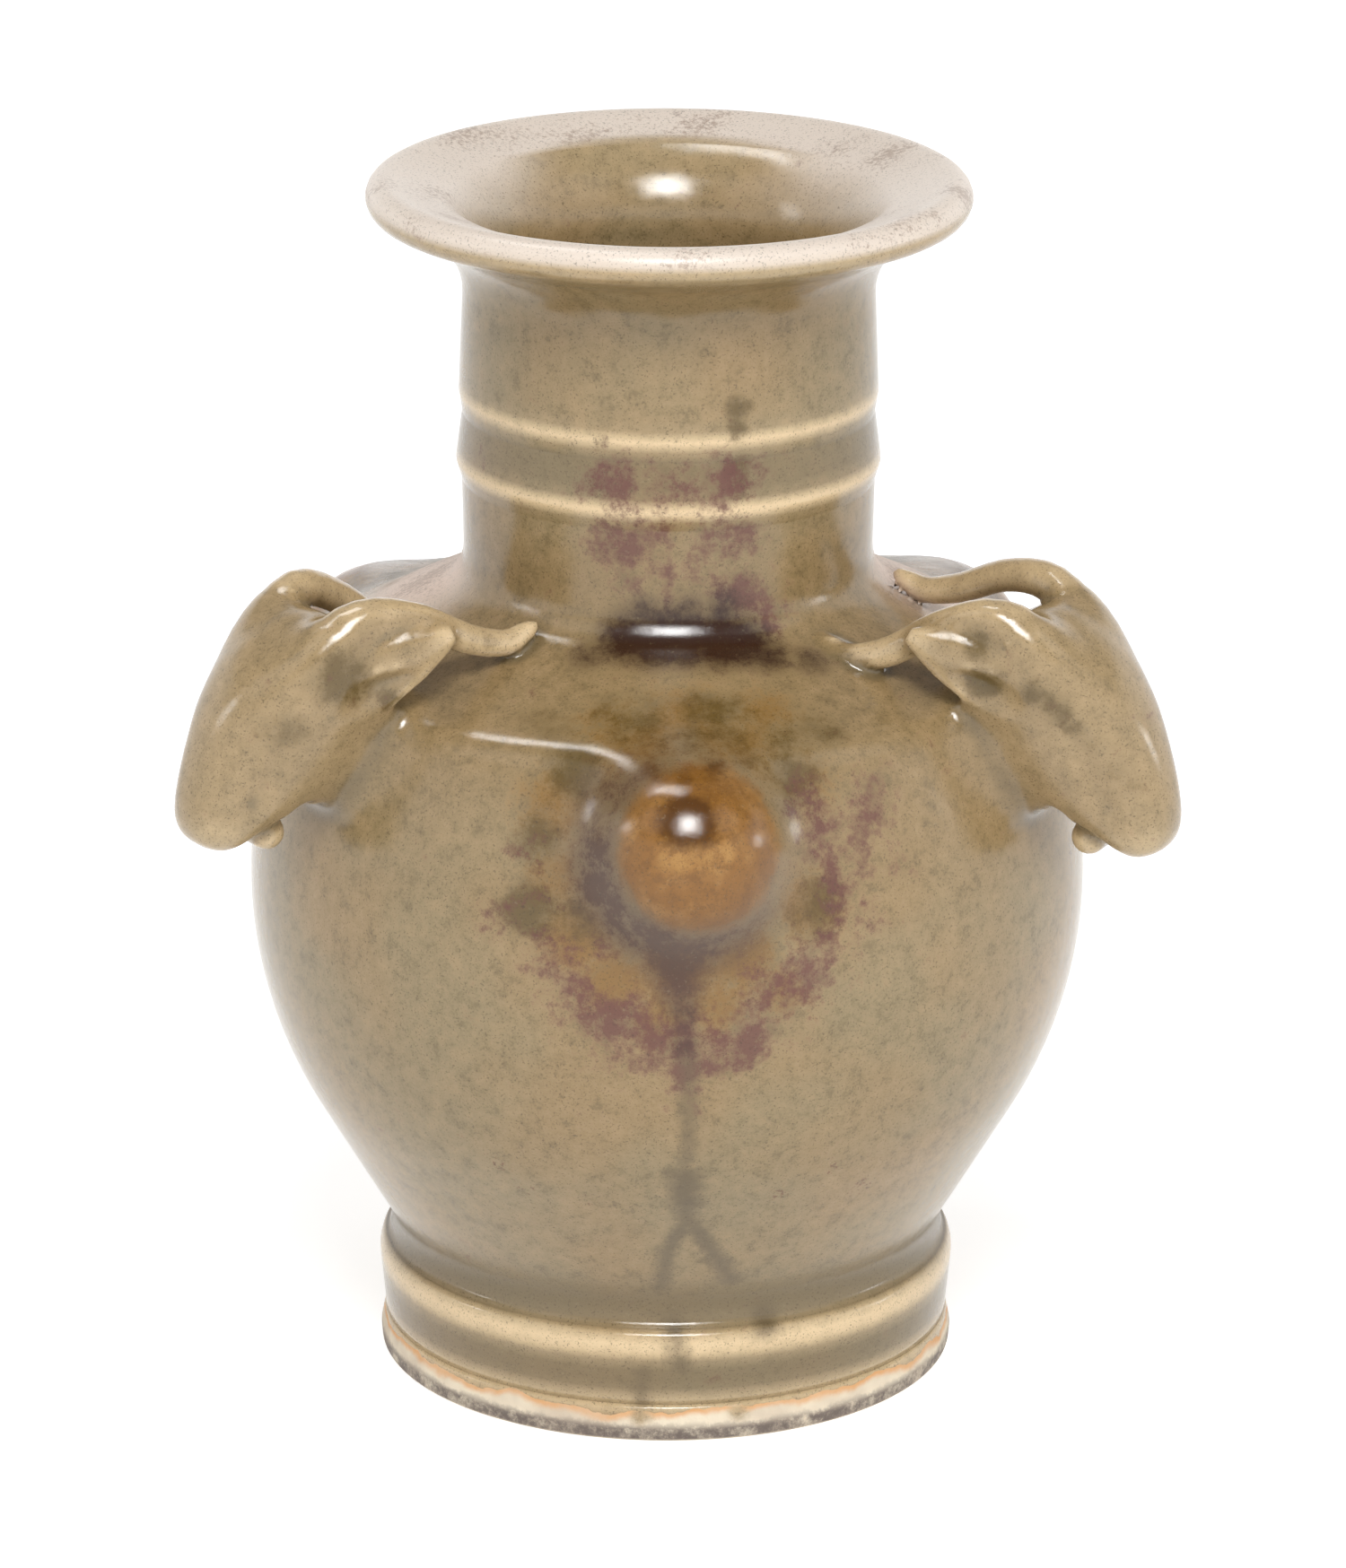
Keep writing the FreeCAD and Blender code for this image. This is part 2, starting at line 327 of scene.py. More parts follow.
# %% Skull
WIDE = 10.0
SECTIONS = np.array([
    (-0.085, -0.5, 0.03, 0.10, 0.05), (-0.06, -0.5, 0.26, 0.58, 0.50), (0.02, -0.7, 0.54, 0.86, 0.85),
    (0.20, -1.0, 0.88, 1.00, 1.20), (0.42, -0.5, 0.99, 0.93, 1.20), (0.63, 0.5, 0.92, 0.74, 1.00),
    (0.80, 2.0, 0.72, 0.62, 0.55), (0.90, 3.3, 0.51, 0.55, 0.40), (0.96, 3.9, 0.36, 0.45, 0.32),
    (1.00, 4.1, 0.21, 0.30, 0.20), (1.018, 4.1, 0.03, 0.06, 0.03)])
SECTION_ROWS = smooth_path(SECTIONS, 90)
FACE_TOP, FACE_END = SECTIONS[0, 0], SECTIONS[-1, 0]
ROUNDNESS = 2.25
print("skull drawn through", len(SECTIONS), "sections")


def to_skull(points, crown, tilt, length):
    """Distance from the bare skull, without lips and carved marks."""
    down, outward = face_frame(tilt)
    local = points - crown
    share = local @ down / length
    columns = SECTION_ROWS.T
    lean, top, side, back = (np.interp(share, columns[0], column) for column in columns[1:])
    out = local @ outward - lean
    half = np.where(out > 0, top, back) * WIDE
    side = side * WIDE
    outs = np.abs(out / half) ** ROUNDNESS
    sides = np.abs(local[:, 1] / side) ** ROUNDNESS
    reach = (outs + sides) ** (1 / ROUNDNESS)
    flat = (reach - 1) * np.minimum(half, side) * 0.8
    past = np.maximum(share - FACE_END, FACE_TOP - share) * length
    return np.where(past > 0, np.maximum(flat, 0) + past, flat)


# %% [markdown]
# The horns are coils of clay that start in the brow, arch back over the shoulder and touch it with
# their tips. Each sags by its own amount, because the potter bent them by hand.


# %% Horns
TIP_RADIUS = 28.3
TIP_ASIDE = 10.6


def horn_path(crown, side, droop):
    """Horn from the brow back over the shoulder, with its radii, going to the tip."""
    reach = crown[0] - math.sqrt(TIP_RADIUS ** 2 - TIP_ASIDE ** 2)
    knots = [(-0.20, -7.0, -0.2, 2.6), (-0.10, -1.6, 0.1, 2.75), (0.12, 2.8, 0.4, 2.35),
             (0.38, 2.6, 0.7, 2.0), (0.64, -0.1, 0.9, 1.85), (0.84, -1.3, 1.0, 1.6),
             (0.95, -0.5, 1.0, 1.2), (1.00, 0.1, 1.0, 0.75)]
    rows = []
    for share, lift, out, radius in knots:
        eased = min(max(share / 0.75, 0), 1)
        fall = droop * eased * eased * (3 - 2 * eased)
        aside = side * (5.8 + out * 4.8)
        rows.append((crown[0] - share * reach, aside, crown[2] + lift - fall, radius))
    rows = smooth_path(rows, 26)
    return rows[:, :3], rows[:, 3]


# %% [markdown]
# An ear is a small leaf of clay, pinched thin towards its tip and pressed hollow with a fingertip.
# A bent ellipse that changes along its length gives the leaf, and a smaller one is carved from it.


# %% Ears
def to_ear(points, crown, side, tip_drop):
    """Leaf-shaped ear that lies back under the horn, scooped on its outer face."""
    root = crown + np.array([2.6, side * 8.2, -6.4])
    tip = crown + np.array([-12.4, side * 12.6, 0.6 - tip_drop])
    along = (tip - root) / np.linalg.norm(tip - root)
    outward = np.cross(along, [0, 0, 1.0]) * side * -1
    outward = outward / np.linalg.norm(outward)
    if outward[1] * side < 0:
        outward = -outward
    up = np.cross(along, outward)
    up = up if up[2] > 0 else -up
    local = points - root
    length = np.linalg.norm(tip - root)
    share = local @ along / length
    shares = [-0.12, 0.0, 0.2, 0.45, 0.7, 0.88, 1.0, 1.05]
    tall = np.interp(share, shares, [2.6, 4.2, 5.0, 4.6, 3.4, 2.1, 1.0, 0.5])
    thick = np.interp(share, shares, [1.6, 1.9, 1.9, 1.7, 1.4, 1.15, 0.85, 0.5])
    height = local @ up
    depth = local @ outward + 0.035 * height ** 2
    leaf = (np.hypot(height / tall, depth / thick) - 1) * thick
    past = np.maximum(share - 1.0, -0.12 - share) * length
    leaf = np.where(past > 0, np.hypot(np.maximum(leaf, 0), past) - 0.1, leaf)
    scoop = 1.4
    lengthways = (share - 0.30) / 0.30
    crossways = (height + 1.7) / (tall * 0.45)
    inwards = (depth - thick) / scoop
    hollow = (np.sqrt(lengthways ** 2 + crossways ** 2 + inwards ** 2) - 1) * scoop
    return carve(leaf, hollow, 0.9)


# %% [markdown]
# Three heads and three bosses take turns round the shoulder. The two seen heads were measured in the
# photograph one by one, so each has its own tilt, length and droop. The third is about their mean.


# %% Heads and bosses
def to_boss(points, centre, radius):
    """Distance from a ball."""
    return np.linalg.norm(points - centre, axis=1) - radius


BELLY_CENTRE = BELLY_TURNS[1]
HEADS = [
    {"angle": -30.0, "lift": -0.6, "tilt": 21.0, "length": 29.3,
     "droops": (2.6, 0.0), "ear_drops": (0.0, 6.5)},
    {"angle": 90.0, "lift": 0.0, "tilt": 21.5, "length": 28.6,
     "droops": (1.0, 1.4), "ear_drops": (0.0, 0.5)},
    {"angle": 210.0, "lift": 0.2, "tilt": 23.0, "length": 28.0,
     "droops": (5.0, 1.1), "ear_drops": (6.0, 0.0)},
]
BOSSES = [{"angle": -90.0, "height": 80.6}, {"angle": 39.0, "height": 81.8},
          {"angle": 139.5, "height": 81.8}]
BOSS_RADIUS = 11.2
BOSS_RISE = 8.3
CROWN_RADIUS = 50.9
CROWN_HEIGHT = 101.2
LIP_RADIUS = 2.15
HEAD_FILLET = 5.5
BOSS_FILLET = 5.0


def head_field(head):
    """Field of the body with one head on it, in the head's own frame."""
    crown = np.array([CROWN_RADIUS, 0, CROWN_HEIGHT + head["lift"]])
    down, outward = face_frame(head["tilt"])
    length = head["length"]
    horns = [horn_path(crown, side, droop) for side, droop in zip((-1, 1), head["droops"])]
    lip = crown + down * (0.875 * length) - outward * 2.4
    lip_path = np.array([lip + (0, v, 0) for v in (-2.0, 2.0)])

    def spot(share, out, v):
        return crown + down * (share * length) + outward * out + np.array([0, v, 0])

    def field(points):
        skull = to_skull(points, crown, head["tilt"], length)
        for side in (-1, 1):
            groove = smooth_path([spot(0.40, 3.4, side * 10.0), spot(0.58, 3.2, side * 8.6),
                                  spot(0.76, 3.4, side * 7.0)], 11)
            skull = carve(skull, to_path(points, groove, np.full(11, 0.45)), 2.4)
        under = np.array([spot(0.757, -4.9, v) for v in (-7.0, 7.0)])
        skull = carve(skull, to_path(points, under, np.full(2, 1.5)), 1.2)
        clay = join(skull, to_path(points, lip_path, np.full(2, LIP_RADIUS)), 0.7)
        clay = join(to_body(points), clay, HEAD_FILLET)
        root_soft = np.interp(points[:, 0] - crown[0], [-6.0, -0.5], [0.8, 3.0])
        for side, tip_drop, (path, radii) in zip((-1, 1), head["ear_drops"], horns):
            clay = join(clay, to_ear(points, crown, side, tip_drop), 1.3)
            clay = join(clay, to_path(points, path, radii, 1.1), root_soft)
        return clay
    return field


def boss_directions(boss):
    """Two directions at a boss: square to the belly, and up along it."""
    sine = (boss["height"] - BELLY_CENTRE[1]) / BELLY_CENTRE[2]
    cosine = math.sqrt(1 - sine ** 2)
    return np.array([cosine, 0, sine]), np.array([-sine, 0, cosine])


def boss_field(boss):
    """Field of the body with one boss on it, in the boss's own frame."""
    outward, _ = boss_directions(boss)
    seat = np.array([BELLY_CENTRE[0], 0, BELLY_CENTRE[1]]) + outward * BELLY_CENTRE[2]
    ball = (BOSS_RADIUS ** 2 + BOSS_RISE ** 2) / (2 * BOSS_RISE)
    centre = seat + outward * (BOSS_RISE - ball)

    def field(points):
        return join(to_body(points), to_boss(points, centre, ball), BOSS_FILLET)
    return field


foot_top = np.argmax(outline[:, 1] > 14)
SKIN = outline[foot_top:np.argmax(outline[:, 1]) + 1]
print("skin has", len(SKIN), "points")

# %% [markdown]
# ## From field to skin
# Surface nets put one point in each small cube that the surface passes through and one face on each
# cube edge that it crosses. The points then slide onto the surface. Remesh in Blender would give the
# same kind of skin, but this one can be cut exactly where it has to meet the turned body.


# %% Surface nets
def gradient(field, points, step=0.02):
    """Slope of a field, from differences."""
    out = np.empty_like(points)
    for axis in range(3):
        shift = np.zeros(3)
        shift[axis] = step
        out[:, axis] = (field(points + shift) - field(points - shift)) / (2 * step)
    return out


def surface_net(field, low, high, step):
    """Points and four-sided faces of the surface of a field inside a box."""
    counts = [int(math.ceil((b - a) / step)) + 1 for a, b in zip(low, high)]
    axes = [a + step * np.arange(n) for a, n in zip(low, counts)]
    lattice = np.stack(np.meshgrid(*axes, indexing="ij"), -1)
    values = field(lattice.reshape(-1, 3)).reshape(counts)
    inside = values < 0
    total = np.zeros([n - 1 for n in counts] + [3])
    hits = np.zeros([n - 1 for n in counts])
    crossings = []
    for axis in range(3):
        first = [slice(None)] * 3
        second = [slice(None)] * 3
        first[axis] = slice(0, -1)
        second[axis] = slice(1, None)
        a, b = values[tuple(first)], values[tuple(second)]
        crossed = inside[tuple(first)] != inside[tuple(second)]
        share = np.where(crossed, a / np.where(crossed, a - b, 1), 0)
        spot = lattice[tuple(first)].copy()
        spot[..., axis] += share * step
        others = [k for k in range(3) if k != axis]
        for shift in ((0, 0), (0, 1), (1, 0), (1, 1)):
            cut = [slice(None)] * 3
            for other, move in zip(others, shift):
                cut[other] = slice(1, None) if move else slice(0, -1)
            total += np.where(crossed[tuple(cut)][..., None], spot[tuple(cut)], 0)
            hits += crossed[tuple(cut)]
        crossings.append((axis, others, crossed, inside[tuple(first)]))
    used = hits > 0
    numbers = np.full(used.shape, -1)
    numbers[used] = np.arange(used.sum())
    points = total[used] / hits[used][:, None]
    faces = []
    for axis, others, crossed, solid_first in crossings:
        where = np.argwhere(crossed)
        keep = np.all([(where[:, k] > 0) & (where[:, k] < counts[k] - 1) for k in others], axis=0)
        where = where[keep]
        p, q = np.zeros(3, int), np.zeros(3, int)
        p[others[0]] = 1
        q[others[1]] = 1
        ring = [where - p - q, where - q, where, where - p]
        quad = np.stack([numbers[tuple(r.T)] for r in ring], 1)
        flip = solid_first[tuple(where.T)] ^ (axis == 1)
        quad[~flip] = quad[~flip][:, ::-1]
        faces.append(quad)
    return points, np.vstack(faces)


# %% [markdown]
# A raw net is stepped like a stair. Each point slides down the slope of the field to the surface and
# then evens out its distance from its neighbours, without leaving the surface.


# %% Settling the net and cutting patches
def settled(field, points, faces, rounds=3):
    """Evens out a net and slides its points onto the surface; the rim stays put sideways."""
    for turn in range(rounds):
        slope = gradient(field, points)
        size = (slope ** 2).sum(1)
        points = points - slope * (np.clip(field(points) / np.maximum(size, 0.05), -0.5, 0.5))[:, None]
        if turn < rounds - 1:
            mean = np.zeros_like(points)
            count = np.zeros(len(points))
            for a, b in ((0, 1), (1, 2), (2, 3), (3, 0)):
                np.add.at(mean, faces[:, a], points[faces[:, b]])
                np.add.at(count, faces[:, a], 1)
            mean = mean / np.maximum(count, 1)[:, None]
            normal = slope / np.sqrt(np.maximum(size, 1e-9))[:, None]
            slide = mean - points
            slide -= (slide * normal).sum(1)[:, None] * normal
            points = points + 0.5 * np.where(count[:, None] > 3, slide, 0)
    return points


def turned_by(points, degrees):
    """Points turned about the axis."""
    angle = math.radians(degrees)
    cosine, sine = math.cos(angle), math.sin(angle)
    spin = np.array([[cosine, -sine, 0], [sine, cosine, 0], [0, 0, 1]])
    return points @ spin.T


def patch(field, window, step, angle):
    """Skin of one head or boss inside a window of half width and heights, in the vase's frame."""
    half, low, high, near, far, clear = window
    points, faces = surface_net(field, (near, -half - 2 * step, low - 2 * step),
                                (far, half + 2 * step, high + 4), step)
    points = settled(field, points, faces)
    fits = (np.abs(points[:, 1]) < half) & (points[:, 2] > low)
    fits &= (points[:, 2] < high) | (points[:, 0] > clear)
    fits &= points[:, 0] > near + step
    faces = faces[fits[faces].all(1)]
    kept, back = np.unique(faces, return_inverse=True)
    return turned_by(points[kept], angle), back.reshape(faces.shape)


# A window is its half width and its lowest and highest height, then how near and far its field
# reaches, and the distance from the axis beyond which a patch may rise above its window.
HEAD_WINDOW = (16.6, 68.0, 105.5, 12.0, 74.0, 34.0)
BOSS_WINDOW = (12.9, 67.0, 92.2, 26.0, 62.0, 99.0)
head_step = 0.68
pieces = [patch(head_field(h), HEAD_WINDOW, head_step, h["angle"]) for h in HEADS]
pieces += [patch(boss_field(b), BOSS_WINDOW, 0.85, b["angle"]) for b in BOSSES]
for points, faces in pieces:
    print("patch:", len(points), "points,", len(faces), "faces")

# %% [markdown]
# ## One skin
# Each patch replaces a window of the turned body. The strip between the two edges is filled with
# triangles in the unrolled plane of the skin, so the vase stays one closed piece as it is in fact.
# A boolean union would also join them, but it leaves slivers along the seam that show in a gloss.


# %% Joining the patches
def rims(faces):
    """Closed loops of edges that belong to one face only, in the order of the faces."""
    edges = np.vstack([faces[:, [k, (k + 1) % 4]] for k in range(4)])
    balance = {}
    for a, b in edges.tolist():
        balance[(a, b)] = balance.get((a, b), 0) + 1
        balance[(b, a)] = balance.get((b, a), 0) - 1
    keys = [pair for pair, count in balance.items() if count > 0]
    following = {}
    for a, b in keys:
        following.setdefault(a, []).append(b)
    loops = []
    while following:
        start = next(iter(following))
        loop = [start]
        here = following[start].pop()
        if not following[start]:
            del following[start]
        while here != start:
            loop.append(here)
            nexts = following[here]
            step = nexts.pop()
            if not nexts:
                del following[here]
            here = step
        loops.append(loop)
    return sorted(loops, key=len, reverse=True)


# %% [markdown]
# The seams are laid out in the plane of the skin: the way round from the middle of a patch, and the
# way along the outline. There a ring of points can be tested and filled as on paper.

# %% The skin unrolled
SHOULDER_RADIUS = 42
SKIN_RUN = np.concatenate([[0], np.cumsum(np.linalg.norm(np.diff(SKIN, axis=0), axis=1))])


def unrolled(points, angle):
    """Points of the skin in a flat plane: way round from an angle, and way along the outline."""
    around = np.degrees(np.arctan2(points[:, 1], points[:, 0])) - angle
    around = (around + 180) % 360 - 180
    spots = np.stack([np.hypot(points[:, 0], points[:, 1]), points[:, 2]], 1)
    nearest = np.full(len(points), 1e9)
    along = np.zeros(len(points))
    for k, (start, end) in enumerate(zip(SKIN, SKIN[1:])):
        step = end - start
        share = np.clip((spots - start) @ step / (step @ step), 0, 1)
        away = ((spots - start - share[:, None] * step) ** 2).sum(1)
        closer = away < nearest
        nearest[closer] = away[closer]
        along[closer] = SKIN_RUN[k] + share[closer] * np.linalg.norm(step)
    return np.stack([np.radians(around) * SHOULDER_RADIUS, along], 1)


def in_ring(spots, ring):
    """Which spots lie inside a closed ring in the plane."""
    inside = np.zeros(len(spots), bool)
    for (ax, ay), (bx, by) in zip(ring, np.roll(ring, -1, axis=0)):
        if ay == by:
            continue
        crosses = (spots[:, 1] < ay) != (spots[:, 1] < by)
        inside ^= crosses & (spots[:, 0] < ax + (spots[:, 1] - ay) * (bx - ax) / (by - ay))
    return inside


# %% [markdown]
# The body loses the faces under each patch, and the strip that stays open is filled. The count of
# open edges at the end says how well the seams and the nets close.


# %% One closed skin
def windows():
    """Angle and window of every patch, in the order of the pieces."""
    return [(h["angle"], HEAD_WINDOW) for h in HEADS] + [(b["angle"], BOSS_WINDOW) for b in BOSSES]


def joined_skin(points, faces, pieces):
    """Body and patches as one closed skin: points and faces."""
    on_skin = np.abs(to_body(points)) < 0.3
    all_points = [points]
    all_faces = []
    gone = np.zeros(len(points), int)
    offset = len(points)
    starts = []
    margin = 0.8
    for number, ((patch_points, patch_faces), (angle, window)) in enumerate(zip(pieces, windows()), 1):
        half, low, high, near = window[:4]
        local = turned_by(points, -angle)
        hit = (np.abs(local[:, 1]) < half + margin) & (local[:, 2] > low - margin)
        hit &= (local[:, 2] < high + margin) & (local[:, 0] > near) & on_skin
        gone[hit] = number
        starts.append(offset)
        all_points.append(patch_points)
        all_faces += [tuple(f) for f in (patch_faces + offset).tolist()]
        offset += len(patch_points)
    gap_edges = {}
    for face in faces:
        marks = max(gone[v] for v in face)
        if marks == 0:
            all_faces.append(face)
        else:
            for a, b in zip(face, face[1:] + face[:1]):
                if gap_edges.pop((marks, b, a), None) is None:
                    gap_edges[(marks, a, b)] = True
    for number, ((patch_points, patch_faces), (angle, _)) in enumerate(zip(pieces, windows()), 1):
        follow = {a: b for mark, a, b in gap_edges if mark == number}
        hole = [next(iter(follow))]
        while follow[hole[-1]] != hole[0]:
            hole.append(follow[hole[-1]])
        rim = rims(patch_faces)
        if len(hole) != len(follow) or len(rim) != 1:
            print("patch", number, "has an odd edge:", len(hole), len(follow), [len(r) for r in rim])
        outer = unrolled(points[hole], angle)
        inner = unrolled(patch_points[rim[0]], angle)
        flat = np.vstack([outer, inner])
        names = hole + [starts[number - 1] + v for v in rim[0]]
        n, m = len(outer), len(inner)
        edges = [(k, (k + 1) % n) for k in range(n)] + [(n + k, n + (k + 1) % m) for k in range(m)]
        spots, _, cells, origin, _, _ = delaunay_2d_cdt([Vector(p) for p in flat], edges, [], 0, 1e-7)
        if len(spots) != len(flat):
            print("patch", number, "seam points", len(flat), "became", len(spots))
        centres = np.array([np.mean([spots[v] for v in cell], axis=0) for cell in cells])
        fits = in_ring(centres, outer) & ~in_ring(centres, inner)
        whole = np.vstack(all_points)
        for cell in [c for c, fit in zip(cells, fits) if fit]:
            a, b, c = (names[origin[v][0]] for v in cell)
            normal = np.cross(whole[b] - whole[a], whole[c] - whole[a])
            outward = whole[a] * (1, 1, 0) + np.array([0, 0, 30.0])
            all_faces.append((a, b, c) if normal @ outward > 0 else (a, c, b))
    whole = np.vstack(all_points)
    used = np.unique(np.concatenate([np.array(f) for f in all_faces]))
    number = np.full(len(whole), -1)
    number[used] = np.arange(len(used))
    return whole[used], [tuple(number[list(f)].tolist()) for f in all_faces]


skin_points, skin_faces = joined_skin(body_points, body_faces, pieces)
seen = {}
for face in skin_faces:
    for a, b in zip(face, face[1:] + face[:1]):
        seen[(a, b)] = seen.get((a, b), 0) + 1
open_edges = sum(1 for (a, b), count in seen.items() if seen.get((b, a), 0) != count)
shared_edges = sum(1 for (a, b), count in seen.items() if a < b and count > 1)
triangles = sum(len(f) - 2 for f in skin_faces)
print("skin:", len(skin_points), "points,", triangles, "triangles,", open_edges, "open edges,",
      shared_edges, "edges where two folds touch")

# %% [markdown]
# ## Where the glaze is thin, thick or coloured
# A celadon glaze runs off edges, where the pale clay shows through, and pools in hollows, where it
# looks darker. Both follow the bend of the surface, so they are worked out from the skin itself.
# The kiln marks follow no such rule and are placed one by one, by angle and height.

# %% Bend of the skin
edge_list = np.array([pair for pair in seen if pair[0] < pair[1]])


def blurred(values, rounds):
    """Average with the neighbours, a number of times."""
    count = np.bincount(edge_list.ravel(), minlength=len(values)).astype(float)
    for _ in range(rounds):
        total = np.bincount(edge_list[:, 0], values[edge_list[:, 1]], len(values))
        total += np.bincount(edge_list[:, 1], values[edge_list[:, 0]], len(values))
        values = 0.4 * values + 0.6 * total / np.maximum(count, 1)
    return values


vase_mesh = bpy.data.meshes.new("vase")
vase_mesh.from_pydata((skin_points * MM).tolist(), [], skin_faces)
vase_mesh.update()
normals = np.array([v.normal for v in vase_mesh.vertices])
smooth_place = np.stack([blurred(skin_points[:, k], 3) for k in range(3)], 1)
reach = np.linalg.norm(skin_points[edge_list[:, 0]] - skin_points[edge_list[:, 1]], axis=1)
mean_reach = np.bincount(edge_list.ravel(), np.repeat(reach, 2), len(skin_points))
mean_reach /= np.maximum(np.bincount(edge_list.ravel(), minlength=len(skin_points)), 1)
bend = ((smooth_place - skin_points) * normals).sum(1) / mean_reach ** 2
bend = blurred(bend, 2)
radius = np.hypot(skin_points[:, 0], skin_points[:, 1])
azimuth = np.degrees(np.arctan2(skin_points[:, 1], skin_points[:, 0]))
height = skin_points[:, 2]
print("sharpest edge", bend.min().round(2), "deepest crease", bend.max().round(2))

# %% [markdown]
# ## Kiln marks
# Each mark is a soft blot, given as degrees from the middle of a boss, height, size and strength, so
# that all three bosses can share the copper ring and the runs under it. A blot fades with distance
# from its place on the skin. The shader breaks the edges up later with noise, as a real bleed is.
# An image could hold the marks too, but a blot stays sharp at any size and reads no file.


# %% Blots on the skin
def on_wall(angle, z):
    """Place on the outer skin of the turned body."""
    r = np.interp(z, SKIN[:, 1], SKIN[:, 0])
    return np.array([r * math.cos(math.radians(angle)), r * math.sin(math.radians(angle)), z])


def blots(spots):
    """Strongest of many soft blots of (place, size, strength), for each point of the skin."""
    mask = np.zeros(len(skin_points))
    for centre, size, strength in spots:
        away = np.linalg.norm(skin_points - centre, axis=1)
        mask = np.maximum(mask, strength * hump(away, size))
    return mask


def wall_blots(spots, turns):
    """Blots of (degrees from a turn, height, size, strength) on the wall, repeated at each turn."""
    return blots([(on_wall(turn + offset, z), size, strength)
                  for turn in turns for offset, z, size, strength in spots])


def ramp(values, low, high):
    """0 below low and 1 above high, with an even S between."""
    share = np.clip((values - low) / (high - low), 0, 1)
    return share * share * (3 - 2 * share)


def fade(values, low, high):
    """1 below low and 0 above high."""
    return ramp(-values, -high, -low)


def hump(distance, size):
    """1 in the middle of a soft blot, falling away with distance."""
    return np.exp(-0.5 * (distance / size) ** 2)


COPPER = [
    (22.9, 80.2, 4.4, 0.7), (-21.8, 76.0, 3.6, 0.45), (19.8, 71.7, 4.2, 0.65),
    (-18.3, 67.6, 4.0, 0.7), (-14.9, 64.2, 4.2, 0.8), (-10.4, 60.2, 4.2, 0.85),
    (-4.8, 57.6, 4.2, 0.9), (0.0, 56.2, 4.0, 0.85), (17.4, 69.0, 4.0, 0.65),
    (14.4, 65.2, 4.2, 0.75), (9.8, 61.9, 4.2, 0.85), (7.1, 59.0, 3.8, 0.9), (14.0, 58.6, 3.2, 0.5),
    (3.6, 57.0, 4.0, 0.85), (26.5, 85.0, 3.8, 0.6), (29.3, 78.4, 3.4, 0.55),
    (22.4, 75.2, 4.0, 0.65), (-25.6, 71.0, 3.0, 0.5), (19.0, 85.5, 3.4, 0.55),
    (-23.5, 80.0, 2.8, 0.45), (-12.5, 68.0, 3.2, 0.5), (10.5, 66.5, 3.2, 0.5),
    (-1.0, 51.5, 2.0, 0.6)]
NECK_COPPER = [
    (-26, 118.6, 3.0, 0.5), (-16, 118.4, 3.4, 0.8), (-7, 118.2, 3.2, 0.7), (2, 118.3, 3.2, 0.7),
    (11, 118.6, 3.4, 0.8), (20, 118.8, 3.0, 0.55), (-16, 111.8, 3.6, 0.8), (-5, 112.6, 3.6, 0.75),
    (5.7, 112.2, 3.6, 0.75), (15.3, 111.2, 3.6, 0.75), (-13.6, 106.6, 3.4, 0.6),
    (-3, 107.4, 3.2, 0.6), (8, 107.4, 3.4, 0.65), (18.9, 104.8, 3.6, 0.8), (24.9, 102.3, 3.0, 0.7)]
NECK_FOOT_RED = [
    (-13.1, 99.8, 3.6, 0.9), (0.8, 99.8, 4.0, 1.0), (9.7, 99.4, 3.8, 1.0), (20.6, 98.2, 3.2, 0.8),
    (-6, 99.6, 3.8, 1.0), (16, 99.2, 3.4, 1.0), (-22, 98.2, 2.8, 0.65), (30, 97.2, 2.8, 0.65),
    (-9.5, 102.6, 2.6, 0.7), (3.0, 103.0, 2.6, 0.65), (12.5, 102.8, 2.8, 0.75)]
OCHRE = [
    (-1.1, 67.4, 5.0, 1.0), (-15.0, 70.4, 4.2, 1.0), (-10.3, 65.4, 4.2, 1.0), (7.0, 68.0, 4.4, 1.0),
    (3.6, 62.4, 4.0, 0.9), (16.7, 73.6, 4.2, 0.9), (-4.0, 61.0, 3.6, 0.9), (-19.0, 77.0, 4.0, 0.8),
    (12.0, 64.0, 3.8, 0.8), (18.0, 87.0, 4.4, 0.7), (-20.0, 85.0, 4.4, 0.8), (-8.0, 91.5, 4.6, 0.8),
    (8.0, 91.5, 4.6, 0.8), (0.0, 94.0, 4.6, 0.8), (-14, 93, 4.2, 0.7), (15, 94, 4.0, 0.7)]
MOSS = [
    (-21.6, 73.0, 3.4, 1.0), (17.2, 73.2, 3.2, 1.0), (-21.3, 82.1, 3.4, 0.8),
    (-16.8, 89.2, 4.0, 0.8), (15.8, 89.4, 4.0, 0.8), (-9.0, 93.0, 4.4, 0.8), (6.0, 93.6, 4.6, 0.8),
    (22.0, 92.0, 3.6, 0.6), (-15.0, 72.4, 2.6, 0.9), (0.0, 91.4, 3.6, 0.8), (-22, 93, 3.6, 0.6),
    (11, 90.5, 3.2, 0.8)]
NECK_MOSS = [
    (-21.1, 127.6, 1.5, 0.5), (-21.5, 123.4, 1.4, 0.5), (-21.7, 117.6, 1.4, 0.5),
    (16.6, 127.7, 1.6, 0.75), (16.5, 125.0, 1.6, 0.75), (16.5, 120.5, 1.6, 0.7),
    (16.4, 117.6, 1.5, 0.65)]
STEM = [
    (-1.4, 70.4, 3.4, 0.9), (-1.6, 67.6, 3.0, 1.0), (-1.3, 65.0, 2.6, 0.9), (-1.0, 62.4, 2.2, 0.8),
    (-0.8, 60.0, 1.9, 0.7), (-0.5, 57.4, 1.8, 0.8)]
